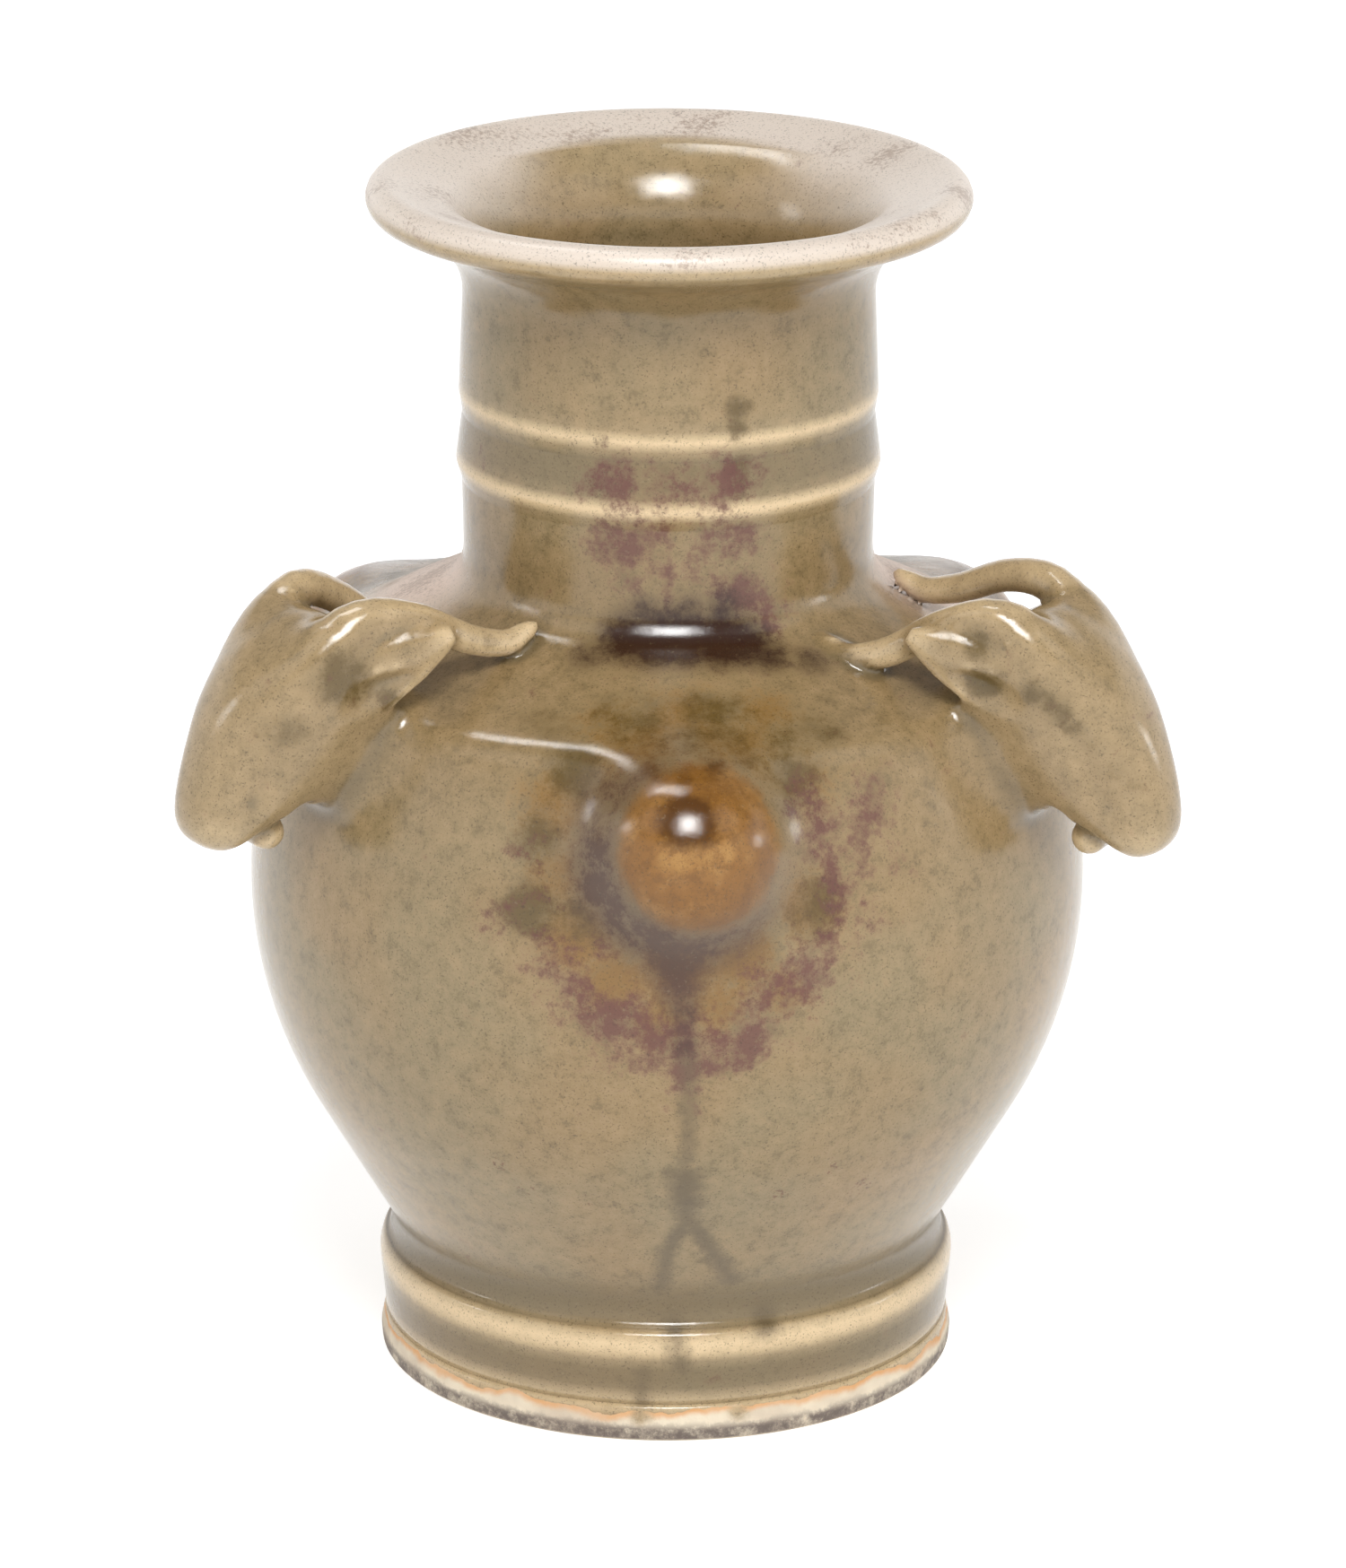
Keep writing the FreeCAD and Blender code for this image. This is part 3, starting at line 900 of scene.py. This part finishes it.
RUST = [
    (-28.6, 38.5, 1.6, 0.9), (-25.1, 35.5, 1.5, 0.9), (-15.0, 34.8, 1.2, 0.7),
    (14.6, 35.3, 1.6, 1.0), (22.7, 38.3, 1.5, 0.9), (29.0, 34.4, 1.6, 1.0), (69.3, 54.0, 1.8, 1.0),
    (70.5, 61.0, 1.6, 1.0), (67.7, 30.4, 2.0, 0.9), (62.0, 34.0, 1.8, 0.8), (71.0, 68.0, 1.4, 0.9)]
BOSS_TURNS = [b["angle"] for b in BOSSES]
FRONT = -90.0
REAR = 60.0
copper = np.maximum(wall_blots(COPPER, BOSS_TURNS), wall_blots(NECK_COPPER, [FRONT]))
neck_red = wall_blots(NECK_FOOT_RED, [FRONT])
ochre = wall_blots(OCHRE, BOSS_TURNS)
moss = np.maximum(wall_blots(MOSS, BOSS_TURNS), wall_blots(NECK_MOSS, [FRONT, REAR]))
stem = wall_blots(STEM, BOSS_TURNS)
rust = np.maximum(wall_blots(RUST, [FRONT]), wall_blots(RUST[3:8], [REAR]))
print("points in copper", int((copper > 0.4).sum()), "in ochre", int((ochre > 0.4).sum()))

# %% [markdown]
# ## The glaze on bosses, heads and lip
# The bosses took a thick dab of amber glaze inside a smoky ring, and the top of each ball gets a
# painted dark reflection of the space above it. Height above the turned body tells the ball from the
# wall. Horn tips, ears and the edge of the lip shed glaze and stay pale.

# %% Amber on the bosses
lift = np.zeros(len(skin_points))
outer_wall = (height > 60) & (height < 112) & (radius > 24)
lift[outer_wall] = to_body(skin_points[outer_wall])
boss_dab = np.zeros(len(skin_points))
boss_ring = np.zeros(len(skin_points))
boss_eye = np.zeros(len(skin_points))
DAB_EDGE = (7.6, 11.6)
RING_RADIUS = 11.2
RING_WIDTH = 2.2
# Spots round the highlight on top of each ball: a painted dark reflection of the space above the boss.
DARK_REFLECTION_SPOTS = [
    (-0.4, 3.8, 3.0, 1.0), (-4.2, 9.6, 1.8, 0.6), (3.0, 10.2, 1.9, 0.6), (-0.6, 9.2, 1.6, 0.5)]
for boss in BOSSES:
    outward, upward = boss_directions(boss)
    local = turned_by(skin_points, -boss["angle"])
    gap = local - (BELLY_CENTRE[0], 0, BELLY_CENTRE[1])
    across, along = gap[:, 1], gap @ upward
    off_axis = np.hypot(across, along)
    near = (gap @ outward > BELLY_CENTRE[2] - 4) & (off_axis < 22)
    dab_reach = np.hypot(across - 0.9, (along - 0.5) * 0.96)
    boss_dab = np.maximum(boss_dab, near * fade(dab_reach, *DAB_EDGE))
    uneven = np.clip(0.78 - 0.045 * across - 0.030 * along, 0.25, 1.25)
    boss_ring = np.maximum(boss_ring, near * uneven * hump(off_axis - RING_RADIUS, RING_WIDTH))
    for right_of, above, size, strength in DARK_REFLECTION_SPOTS:
        from_eye = np.hypot(across - right_of, along - above)
        boss_eye = np.maximum(boss_eye, near * strength * hump(from_eye, size))
print("points in amber", int((boss_dab > 0.5).sum()))

# %% [markdown]
# Iron in the glaze left dark stains on the heads. They are placed in millimetres and not on the wall,
# since the heads stand off it.

# %% Stains on the heads
STAINS = [
    (-40.3, -35.1, 98.3, 3.2, 0.8), (-42.4, -35.9, 97.0, 2.8, 0.6), (-45.8, -36.4, 92.2, 3.0, 0.6),
    (41.5, -35.8, 95.5, 1.6, 0.7), (43.2, -36.0, 94.3, 1.6, 0.55), (44.7, -36.4, 93.1, 1.7, 0.55),
    (46.6, -36.8, 91.2, 1.6, 0.55), (48.4, -37.1, 89.4, 1.6, 0.5), (50.9, -37.0, 86.0, 1.6, 0.5),
    (53.3, -37.0, 83.3, 1.6, 0.5), (36.3, -32.5, 96.2, 2.0, 1.0), (35.3, -32.8, 101.0, 2.0, 0.8),
    (-34.1, -32.3, 94.9, 1.6, 0.7), (-22.2, -27.0, 99.6, 1.6, 0.6)]
stain = blots([((x, y, z), size, strength) for x, y, z, size, strength in STAINS])
moss = np.maximum(moss, stain)
print("stained points", int((stain > 0.3).sum()))

# %% [markdown]
# Edges and the rings from the wheel shed their glaze and show the pale clay, and the grooves beside
# them keep it. On the two neck rings the pale line is also a painted highlight. The bend of the skin
# finds the small ones; heights name the rings and the foot.

# %% Thin and pooled glaze
broad_bend = blurred(bend, 6)
thin = np.maximum(ramp(-bend, 0.07, 0.30), 0.75 * ramp(-broad_bend, 0.05, 0.22))
thin = np.maximum(thin * (1 - 0.22 * ramp(lift, 3.0, 6.0)), 0.16 * ramp(lift, 2.0, 4.0))
# Pale lines: at the two neck rings thin glaze and a painted highlight in one, at the foot ridge thin
# glaze.
PALE_LINES_AND_HIGHLIGHTS = [(115.25, 0.66, 24.3, 1.35), (123.8, 0.66, 24.3, 1.15), (12.6, 1.1, 33, 1.25)]
for line_height, width, beyond, strength in PALE_LINES_AND_HIGHLIGHTS:
    thin = np.maximum(thin, strength * hump(height - line_height, width) * (radius > beyond))
thin = np.where(boss_dab > 0.05, 0.0, thin)
pool = np.maximum(ramp(bend, 0.05, 0.22), 0.8 * ramp(broad_bend, 0.04, 0.14))
pool = np.maximum(pool, 0.75 * ramp(height, 4.5, 6.0) * fade(height, 10.4, 11.4) * (radius > 33))
between = ramp(height, 116.0, 117.4) * fade(height, 121.6, 122.8) * (radius > 24.2)
pool = np.maximum(pool, 0.6 * between)
pool = np.maximum(pool, ramp(height, 14.2, 15.6) * fade(height, 17.0, 24.0) * 0.9)
print("thin points", int((thin > 0.5).sum()), "pooled", int((pool > 0.5).sum()))

# %% [markdown]
# Dust lies where no hand wipes it off: on the shoulder behind the neck and in the flare of the lip.
# On the lip the pale colour is kept to the faces turned upwards, so it is partly dust and partly a
# painted light from above.
# All masks are then stored on the mesh, where the shader can read them.

# %% Dust, and the masks on the mesh
turned = (azimuth + 90) % 360
behind = ramp(turned, 62, 92) * fade(turned, 268, 298)
dusty = behind * ramp(height, 91, 96) * fade(height, 101.5, 104)
dusty *= fade(lift, 0.8, 2.5) * (radius < 45)
behind_lip = np.maximum(np.sin(np.radians(azimuth)), 0) ** 2
# Lip: dust and a painted light from above, on the faces turned up.
lip_dust = ramp(height, 138.0, 142.0) * ramp(radius - 4.0 * behind_lip, 23.2, 25.2)
lip_dust *= ramp(normals[:, 2], -0.1, 0.3)
MASKS = {"thin": thin, "pool": pool, "copper": copper, "neck_red": neck_red, "ochre": ochre,
         "moss": moss, "stem": stem, "rust": rust, "boss_dab": boss_dab, "boss_ring": boss_ring,
         "boss_eye": boss_eye, "dusty": dusty, "lip_dust": lip_dust}
for name, values in MASKS.items():
    layer = vase_mesh.attributes.new(name, "FLOAT", "POINT")
    layer.data.foreach_set("value", values.astype(np.float32))
    print(name, "covers", round(100 * float((values > 0.3).mean()), 2), "% of the points")

# %% [markdown]
# ## A class for shader sums
# The glaze is one long sum of layers. This class wraps a socket so that the sum can be written as in
# Python. Sums and products add Math nodes, and any other node comes from one method.


# %% Shader sums
class Layer:
    """A shader socket that can stand in sums and products."""

    def __init__(self, tree, socket=None):
        self.tree = tree
        self.socket = socket

    def node(self, kind, settings=None, output=0, **sockets):
        """Any other node: settings first, then values or links by socket name or i and its number."""
        made = self.tree.nodes.new(kind)
        for name, value in (settings or {}).items():
            setattr(made, name, value)
        for name, value in sockets.items():
            socket = socket_of(made, name)
            if isinstance(value, Layer):
                self.tree.links.new(value.socket, socket)
            else:
                socket.default_value = value
        return Layer(self.tree, made.outputs[output])

    def sum(self, operation, *values):
        numbered = {f"i{k}": value for k, value in enumerate(values)}
        return self.node("ShaderNodeMath", {"operation": operation}, **numbered)

    def __add__(self, other):
        return self.sum("ADD", self, other)

    def __sub__(self, other):
        return self.sum("SUBTRACT", self, other)

    def __rsub__(self, other):
        return self.sum("SUBTRACT", other, self)

    def __mul__(self, other):
        return self.sum("MULTIPLY", self, other)

    __radd__ = __add__
    __rmul__ = __mul__

    def over(self, low, high, start=0.0, end=1.0):
        """An S-shaped step from start, below low, to end, above high."""
        return self.node("ShaderNodeMapRange", {"interpolation_type": "SMOOTHSTEP"},
                         i0=self, i1=low, i2=high, i3=start, i4=end)

    def most(self, other):
        return self.sum("MAXIMUM", self, other)

    def colour(self, under, over, blend="MIX"):
        """Lays one colour over another where this value is 1."""
        made = self.node("ShaderNodeMix", {"data_type": "RGBA", "blend_type": blend}, output=2, i0=self)
        for number, value in ((6, under), (7, over)):
            socket = made.socket.node.inputs[number]
            if isinstance(value, Layer):
                self.tree.links.new(value.socket, socket)
            else:
                socket.default_value = (*value, 1.0)
        return made


# %% [markdown]
# ## The glaze
# From the clay up: a greenish brown celadon with drifts of tone, pale where it is thin, with a painted
# highlight on the neck rings, and darker where it pooled, then the smoky ring, amber, ochre and copper
# of the bosses with a painted dark reflection on each ball, then fine dark specks.
# Noise on Object coordinates in millimetres frays each edge. The foot below the wavy edge of the
# glaze is bare: an orange line of flashing, cream clay, and grey kiln grit near the table.

# %% Celadon glaze material
glaze.use_nodes = True
glaze.node_tree.nodes.clear()
start = Layer(glaze.node_tree)


def vector(operation, output=0, **sockets):
    """A sum on whole places instead of single numbers."""
    return start.node("ShaderNodeVectorMath", {"operation": operation}, output, **sockets)


metres = start.node("ShaderNodeTexCoord", output=3)
place = vector("SCALE", i0=metres, Scale=1 / MM)
level = start.node("ShaderNodeSeparateXYZ", output=2, i0=place)


def noise(scale, detail=2.0, rough=0.5, shift=(0.0, 0.0, 0.0)):
    """Noise from 0 to 1 with features of about 1 / scale millimetres."""
    moved = vector("ADD", i0=place, i1=shift)
    return start.node("ShaderNodeTexNoise", {"noise_dimensions": "3D"}, Vector=moved, Scale=scale,
                      Detail=detail, Roughness=rough)


def painted(name):
    """A mask that was worked out on the skin."""
    settings = {"attribute_name": name, "attribute_type": "GEOMETRY"}
    return start.node("ShaderNodeAttribute", settings, output=2)


drift = noise(0.045, 2.0)
cloud = noise(0.16, 3.0, 0.6, (40, 0, 0))
fray = noise(0.55, 4.0, 0.65, (0, 70, 0))
grain = noise(1.7, 3.0, 0.6, (0, 0, 90))
speck = noise(3.6, 2.0, 0.6, (15, 0, 0))
mottle = noise(0.42, 8.0, 0.80, (3, 4, 5))
clouded, frayed, mottled = cloud - 0.5, fray - 0.5, mottle - 0.5


# %% [markdown]
# The ground colours are a little darker than the glaze looks, because its gloss adds a white veil.

# %% Ground of the glaze
WARM_CELADON = (0.310, 0.212, 0.100)
GREEN_CELADON = (0.280, 0.212, 0.110)
SHOULDER_BROWN = (0.272, 0.188, 0.088)
PALE_FLECK = (0.425, 0.292, 0.150)
DARK_FLECK = (0.150, 0.106, 0.048)
POOLED = (0.142, 0.106, 0.054)
# Pale of thin glaze, bright enough to also stand for the painted highlight on the neck rings.
THIN_CREAM_AND_HIGHLIGHT = (0.72, 0.55, 0.33)
SHOULDER_DUST = (0.70, 0.55, 0.46)
# Pale of the lip: dust and painted light from above.
LIP_DUST_AND_TOP_LIGHT = (0.74, 0.65, 0.57)
upper = level.over(66.0, 96.0) * level.over(103.0, 118.0, 1.0, 0.0)
celadon = drift.over(0.35, 0.65).colour(WARM_CELADON, GREEN_CELADON)
celadon = upper.colour(celadon, SHOULDER_BROWN)
celadon = (mottle.over(0.46, 0.68) * 0.50).colour(celadon, PALE_FLECK)
celadon = mottle.over(0.34, 0.50, 0.58, 0.0).colour(celadon, DARK_FLECK)
celadon = (painted("pool") * (0.80 + mottled * 0.8)).colour(celadon, POOLED)
# Pale where the glaze is thin; on the neck rings this is also a painted highlight.
celadon = (painted("thin") * (0.84 + mottled * 0.9)).colour(celadon, THIN_CREAM_AND_HIGHLIGHT)
dust = painted("dusty") * (0.90 + frayed * 0.3)
celadon = dust.colour(celadon, SHOULDER_DUST)
# Pale lip top: dust and painted light from above.
celadon = (painted("lip_dust") * 0.92).colour(celadon, LIP_DUST_AND_TOP_LIGHT)
print("glaze ground:", len(start.tree.nodes), "nodes")

# %% [markdown]
# The layers above the ground, in the order in which the kiln left them.

# %% Amber, ochre and copper
OCHRE_BROWN = (0.230, 0.115, 0.020)
MOSS_BROWN = (0.082, 0.050, 0.007)
COPPER_RED = (0.128, 0.042, 0.034)
BURNT_RED = (0.026, 0.006, 0.002)
STEM_RED = (0.066, 0.025, 0.015)
DEEP_AMBER = (0.250, 0.108, 0.016)
PALE_AMBER = (0.400, 0.205, 0.052)
AMBER_FLECK = (0.170, 0.070, 0.010)
SMOKE = (0.085, 0.040, 0.020)
# Brown of the painted dark reflection on the bosses.
DARK_REFLECTION_BROWN = (0.085, 0.030, 0.002)
RUST_BROWN = (0.15, 0.060, 0.030)
bled = (painted("ochre") + mottled * 1.5).over(0.30, 0.95)
marks = (bled * 0.85).colour(celadon, OCHRE_BROWN)
moss_veil = (painted("moss") + mottled * 1.5 + clouded * 1.3).over(0.30, 0.88)
marks = (moss_veil * 0.78).colour(marks, MOSS_BROWN)
copper_noise = mottled * 2.3 + clouded * 1.6 + frayed * 0.9
copper_veil = (painted("copper") + copper_noise).over(0.33, 0.98)
marks = (copper_veil * 0.86).colour(marks, COPPER_RED)
burnt = (painted("neck_red") + mottled * 1.1).over(0.25, 0.85)
marks = (burnt * 0.97).colour(marks, BURNT_RED)
stem_veil = (painted("stem") + mottled * 0.9).over(0.22, 0.90)
marks = (stem_veil * 0.92).colour(marks, STEM_RED)
dab = cloud.over(0.38, 0.66).colour(DEEP_AMBER, PALE_AMBER)
dab = mottle.over(0.38, 0.54, 0.7, 0.0).colour(dab, AMBER_FLECK)
dab_edge = (painted("boss_dab") + mottled * 1.1).over(0.22, 0.85)
marks = dab_edge.colour(marks, dab)
ring_veil = painted("boss_ring") * (0.80 + mottled * 2.6 + clouded * 1.0)
marks = ring_veil.colour(marks, SMOKE)
# Painted dark reflection on the top of each boss, laid over the amber.
dark_reflection_veil = (painted("boss_eye") + frayed * 0.6).over(0.30, 0.75)
marks = (dark_reflection_veil * 0.95).colour(marks, DARK_REFLECTION_BROWN)
rusty = (painted("rust") * 0.27 + noise(1.3, 4.0, 0.7, (7, 7, 0))).over(0.74, 0.82)
marks = (rusty * 0.75).colour(marks, RUST_BROWN)


# %% [markdown]
# A run of thick glaze follows a short line on the wall. Its distance is worked out in the shader, so
# that its edge doesn't depend on the mesh.


# %% Runs of thick glaze
def run_of_glaze(first, last, width):
    """A run that follows the line between two places on the wall, given as angle and height."""
    top = on_wall(*first)
    step = on_wall(*last) - top
    gap = vector("SUBTRACT", i0=place, i1=tuple(top))
    along = vector("DOT_PRODUCT", 1, i0=gap, i1=tuple(step))
    share = start.node("ShaderNodeClamp", i0=along * float(1 / (step @ step)), Min=0.0, Max=1.0)
    nearest = vector("SCALE", i0=tuple(step), Scale=share)
    away = vector("DISTANCE", 1, i0=gap, i1=nearest)
    return (away + frayed * 1.4 + mottled * 2.0).over(0.0, 1.25 * width, 1.0, 0.0)


RUNS = [
    ((-90.2, 55.0), (-89.8, 46.0), 1.9, 0.55), ((-89.8, 46.0), (-90.1, 38.5), 1.7, 0.6),
    ((-90.1, 38.8), (-89.9, 35.0), 3.2, 0.95), ((-89.9, 35.0), (-89.3, 31.5), 2.3, 0.85),
    ((-89.5, 32.0), (-92.6, 26.6), 1.7, 0.8), ((-92.6, 26.6), (-94.0, 20.6), 1.7, 0.8),
    ((-89.3, 32.0), (-85.2, 27.0), 2.0, 0.85), ((-85.2, 27.0), (-80.6, 21.6), 2.0, 0.85),
    ((-91.2, 15.0), (-89.8, 10.5), 2.1, 0.9), ((-97.6, 9.0), (-97.6, 5.0), 1.6, 0.6),
    ((-72.7, 15.6), (-72.7, 14.4), 2.3, 0.8)]
layers = [run_of_glaze(first, last, width) * strength for first, last, width, strength in RUNS]
runs = functools.reduce(Layer.most, layers)
RUN_BROWN = (0.135, 0.098, 0.050)
marks = runs.colour(marks, RUN_BROWN)
print("glaze with marks:", len(start.tree.nodes), "nodes")

# %% [markdown]
# The specks are fine and even, so they come last, and they also roughen the bare clay of the foot.

# %% Specks, bare foot and finish
SPECK = (0.045, 0.030, 0.014)
PALE_SPECK = (0.42, 0.34, 0.20)
BROWN_DUST = (0.24, 0.145, 0.095)
CREAM_CLAY = (0.80, 0.70, 0.54)
WORN_CLAY = (0.62, 0.52, 0.40)
FLASHING = (0.68, 0.36, 0.15)
GRIT_GREY = (0.150, 0.118, 0.100)
dots = speck.over(0.56, 0.71) * 0.50
marks = dots.colour(marks, SPECK)
light_dots = grain.over(0.60, 0.78) * 0.16
marks = light_dots.colour(marks, PALE_SPECK)
# Zones of dust; on the lip also painted light from above.
dust_and_top_light_zone = painted("lip_dust").most(painted("dusty"))
brown_noise = noise(1.6, 5.0, 0.75, (5, 5, 5)) * 0.6 + noise(0.09, 1.0) * 0.5
brown_dust = brown_noise.over(0.60, 0.70) * dust_and_top_light_zone * 0.55
marks = brown_dust.colour(marks, BROWN_DUST)
wave = noise(0.13, 2.0, 0.5, (0, 30, 0)) * 3.4 + frayed * 0.8
edge = level - wave - 2.1
drips = run_of_glaze((-97.6, 5.0), (-97.6, 3.4), 1.7)
drips = drips.most(run_of_glaze((-78.5, 5.0), (-78.5, 3.5), 1.7))
glazed = edge.over(-0.08, 0.10).most(drips)
clay = noise(0.12, 3.0, 0.6, (60, 0, 0)).over(0.35, 0.7).colour(CREAM_CLAY, WORN_CLAY)
clay = (edge.over(-1.1, -0.15) * (0.85 + clouded * 1.2)).colour(clay, FLASHING)
grit_cloud = noise(0.30, 7.0, 0.8, (9, 0, 0))
grit_line = (level + (grit_cloud - 0.5) * 3.0).over(1.6, 2.6, 1.0, 0.0) * level.over(0.05, 0.45)
clay = (grit_line * grit_cloud.over(0.25, 0.60)).colour(clay, GRIT_GREY)
finish_colour = glazed.colour(clay, marks)
CLAY_ROUGHNESS = 0.68
GLAZE_ROUGHNESS = 0.13
dulled = dust * 0.40 + painted("lip_dust") * 0.22
glaze_roughness = mottled * 0.14 + clouded * 0.05 + dulled + GLAZE_ROUGHNESS
roughness = glazed.node("ShaderNodeMix", {"data_type": "FLOAT"},
                        i0=glazed, i2=CLAY_ROUGHNESS, i3=glaze_roughness)
peel = noise(0.42, 1.0, 0.5, (0, 8, 0)) * 0.55 + noise(0.13, 1.0) * 1.0
grit = noise(2.2, 3.0, 0.7) * 1.2 + noise(0.8, 2.0) * 1.5
glaze_height = peel + mottled * 0.5 + glazed * 1.6
relief = glazed.node("ShaderNodeMix", {"data_type": "FLOAT"}, i0=glazed, i2=grit, i3=glaze_height)
bump = start.node("ShaderNodeBump", Strength=0.6, Distance=0.1 * MM, Height=relief)
surface = start.node("ShaderNodeBsdfPrincipled", Base_Color=finish_colour, Roughness=roughness,
                     IOR=1.5, Normal=bump)
out = start.tree.nodes.new("ShaderNodeOutputMaterial")
start.tree.links.new(surface.socket, out.inputs["Surface"])
print("whole glaze:", len(start.tree.nodes), "nodes")

# %% [markdown]
# ## The vase in the frame
# The skin rides on the one body of the part and stands in for its plain solid, so that anything that
# holds the part holds the glazed vase too.

# %% The vase
vase = bpy.data.objects.new("vase_skin", vase_mesh)
bpy.context.scene.collection.objects.link(vase)
vase_mesh.materials.append(glaze)
vase_mesh.polygons.foreach_set("use_smooth", [True] * len(vase_mesh.polygons))
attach(vase, "root")
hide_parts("vase")

# %% [markdown]
# ## The studio
# The photograph was made on a white sweep under a square softbox, with a strip overhead and two small
# side lamps; their places were traced back from the highlights. White below and dark above gives the
# glaze its pale veil on the belly and its deep tone on the shoulder. Each lamp is in two parts: one
# that lights the clay at a plain level and one that only shows as a highlight.


# %% Floor, low wall and dark above
def card(name, points, faces):
    mesh = bpy.data.meshes.new(name)
    mesh.from_pydata(points, [], faces)
    made = bpy.data.objects.new(name, mesh)
    bpy.context.scene.collection.objects.link(made)
    return made


def white_paper(name, seen_level, glossy_level, soft_level, albedo, fades=True):
    """White for the camera, brighter in reflections, and plain as a source of light."""
    paper = bpy.data.materials.new(name)
    paper.use_nodes = True
    paper.node_tree.nodes.clear()
    sheet = Layer(paper.node_tree)
    camera_ray = sheet.node("ShaderNodeLightPath", output=0)
    rays = camera_ray.socket.node.outputs
    mirrored = Layer(sheet.tree, rays["Is Glossy Ray"])
    mirrored = mirrored.most(Layer(sheet.tree, rays["Is Transmission Ray"]))
    level = camera_ray * (seen_level - soft_level) + mirrored * (glossy_level - soft_level) + soft_level
    if fades:
        position = sheet.node("ShaderNodeTexCoord", output=3)
        upright = sheet.node("ShaderNodeSeparateXYZ", output=2, i0=position)
        level = level * upright.over(0.70, 1.0, 1.0, 0.1)
    glow = sheet.node("ShaderNodeEmission", Color=(1, 1, 1, 1), Strength=level)
    matt = sheet.node("ShaderNodeBsdfDiffuse", Color=(albedo, albedo, albedo, 1))
    both = sheet.node("ShaderNodeAddShader", i0=glow, i1=matt)
    end = sheet.tree.nodes.new("ShaderNodeOutputMaterial")
    sheet.tree.links.new(both.socket, end.inputs["Surface"])
    paper.cycles.emission_sampling = "NONE"
    return paper


SIDES = 64
REACH = 1.6
WALL_HEIGHT = 1.0
around = [2 * math.pi * k / SIDES for k in range(SIDES)]
RING = [(REACH * math.cos(turn), REACH * math.sin(turn)) for turn in around]
floor = card("Floor", [(x, y, 0) for x, y in RING], [tuple(range(SIDES))])
floor.data.materials.append(white_paper("floor paper", 0.60, 0.66, 0.20, 0.8))
wall = card("Low wall", [(x, y, z) for z in (0, WALL_HEIGHT) for x, y in RING],
            [((k + 1) % SIDES, k, k + SIDES, (k + 1) % SIDES + SIDES) for k in range(SIDES)])
wall.data.materials.append(white_paper("wall paper", 1.0, 1.15, 0.75, 0.3))
panel_ring = [(math.cos(math.radians(a)), math.sin(math.radians(a))) for a in range(-172, -124, 8)]
for number, sign in enumerate((1, -1)):
    edges = ((1.35, 0.86), (0.80, 1.30))
    corners = [(sign * out * x, out * y, z) for out, z in edges for x, y in panel_ring]
    count = len(panel_ring)
    strips = [(k, k + 1, k + 1 + count, k + count) for k in range(count - 1)]
    panel = card("Side panel %d" % number, corners, strips)
    panel.data.materials.append(white_paper("panel paper %d" % number, 1.0, 1.1, 0.35, 0.2, False))
world = bpy.data.worlds.new("World")
bpy.context.scene.world = world
world.use_nodes = True
world.node_tree.nodes["Background"].inputs[0].default_value = (0.34, 0.33, 0.32, 1)

# %% [markdown]
# The glaze mirrors each lamp as a bright patch, and the clay takes far less light than that patch
# suggests. One lamp can't do both, so its mirrored part and its lighting part have their own powers.


# %% Lamps
def softbox(name, angle, elevation, wide, tall, glow, light):
    """A lamp at 1 m that looks at the shoulder, as a highlight part and a lighting part."""
    turn, rise = math.radians(angle), math.radians(elevation)
    spot = Vector((math.cos(rise) * math.cos(turn), math.cos(rise) * math.sin(turn), math.sin(rise)))
    for part, power in (("highlight", glow), ("light", light)):
        if power == 0:
            continue
        data = bpy.data.lights.new(name + " " + part, "AREA")
        data.shape = "RECTANGLE"
        data.size = wide
        data.size_y = tall
        data.energy = power
        lamp = bpy.data.objects.new(name + " " + part, data)
        bpy.context.scene.collection.objects.link(lamp)
        lamp.location = spot + Vector((0, 0, 0.08))
        lamp.rotation_euler = (-spot).to_track_quat("-Z", "Y").to_euler()
        lamp.visible_diffuse = part == "light"
        lamp.visible_glossy = part == "highlight"


softbox("Front softbox", -91.0, 49.0, 0.33, 0.31, 9.0, 5.4)
softbox("Right fill", -40.0, 30.0, 0.50, 0.50, 0.0, 1.1)
softbox("Overhead strip", 154.0, 72.0, 0.08, 0.56, 3.0, 0.8)
softbox("Left lamp", 182.0, 24.0, 0.10, 0.10, 0.5, 0.0)
softbox("Right lamp", -1.0, 9.0, 0.10, 0.10, 0.5, 0.0)
print("lamps:", len(bpy.data.lights))

# %% [markdown]
# ## The camera
# The camera stands where the photograph was taken from: its place and angle were fitted to the rim,
# the neck rings, the foot and the outline of the body.

# %% Camera
cam_data = bpy.data.cameras.new("Camera")
cam = bpy.data.objects.new("Camera", cam_data)
bpy.context.scene.collection.objects.link(cam)
bpy.context.scene.camera = cam
cam_data.lens = 175.06
cam_data.shift_x = 0.00369
eye = Vector((-46.7, -891.4, 373.6)) * MM
flat = Vector((0.0523, 0.9986, 0.0)).normalized()
pitch = math.radians(18.625)
forward = flat * math.cos(pitch) - Vector((0, 0, 1)) * math.sin(pitch)
right = flat.cross(Vector((0, 0, 1))).normalized()
upward = right.cross(forward)
roll = math.radians(-0.194)
right, upward = (right * math.cos(roll) - upward * math.sin(roll),
                 upward * math.cos(roll) + right * math.sin(roll))
cam.matrix_world = Matrix((
    (right.x, upward.x, -forward.x, eye.x),
    (right.y, upward.y, -forward.y, eye.y),
    (right.z, upward.z, -forward.z, eye.z),
    (0, 0, 0, 1),
))
bpy.context.scene.view_settings.view_transform = "Standard"
print("camera", round(eye.length, 3), "m from the foot")
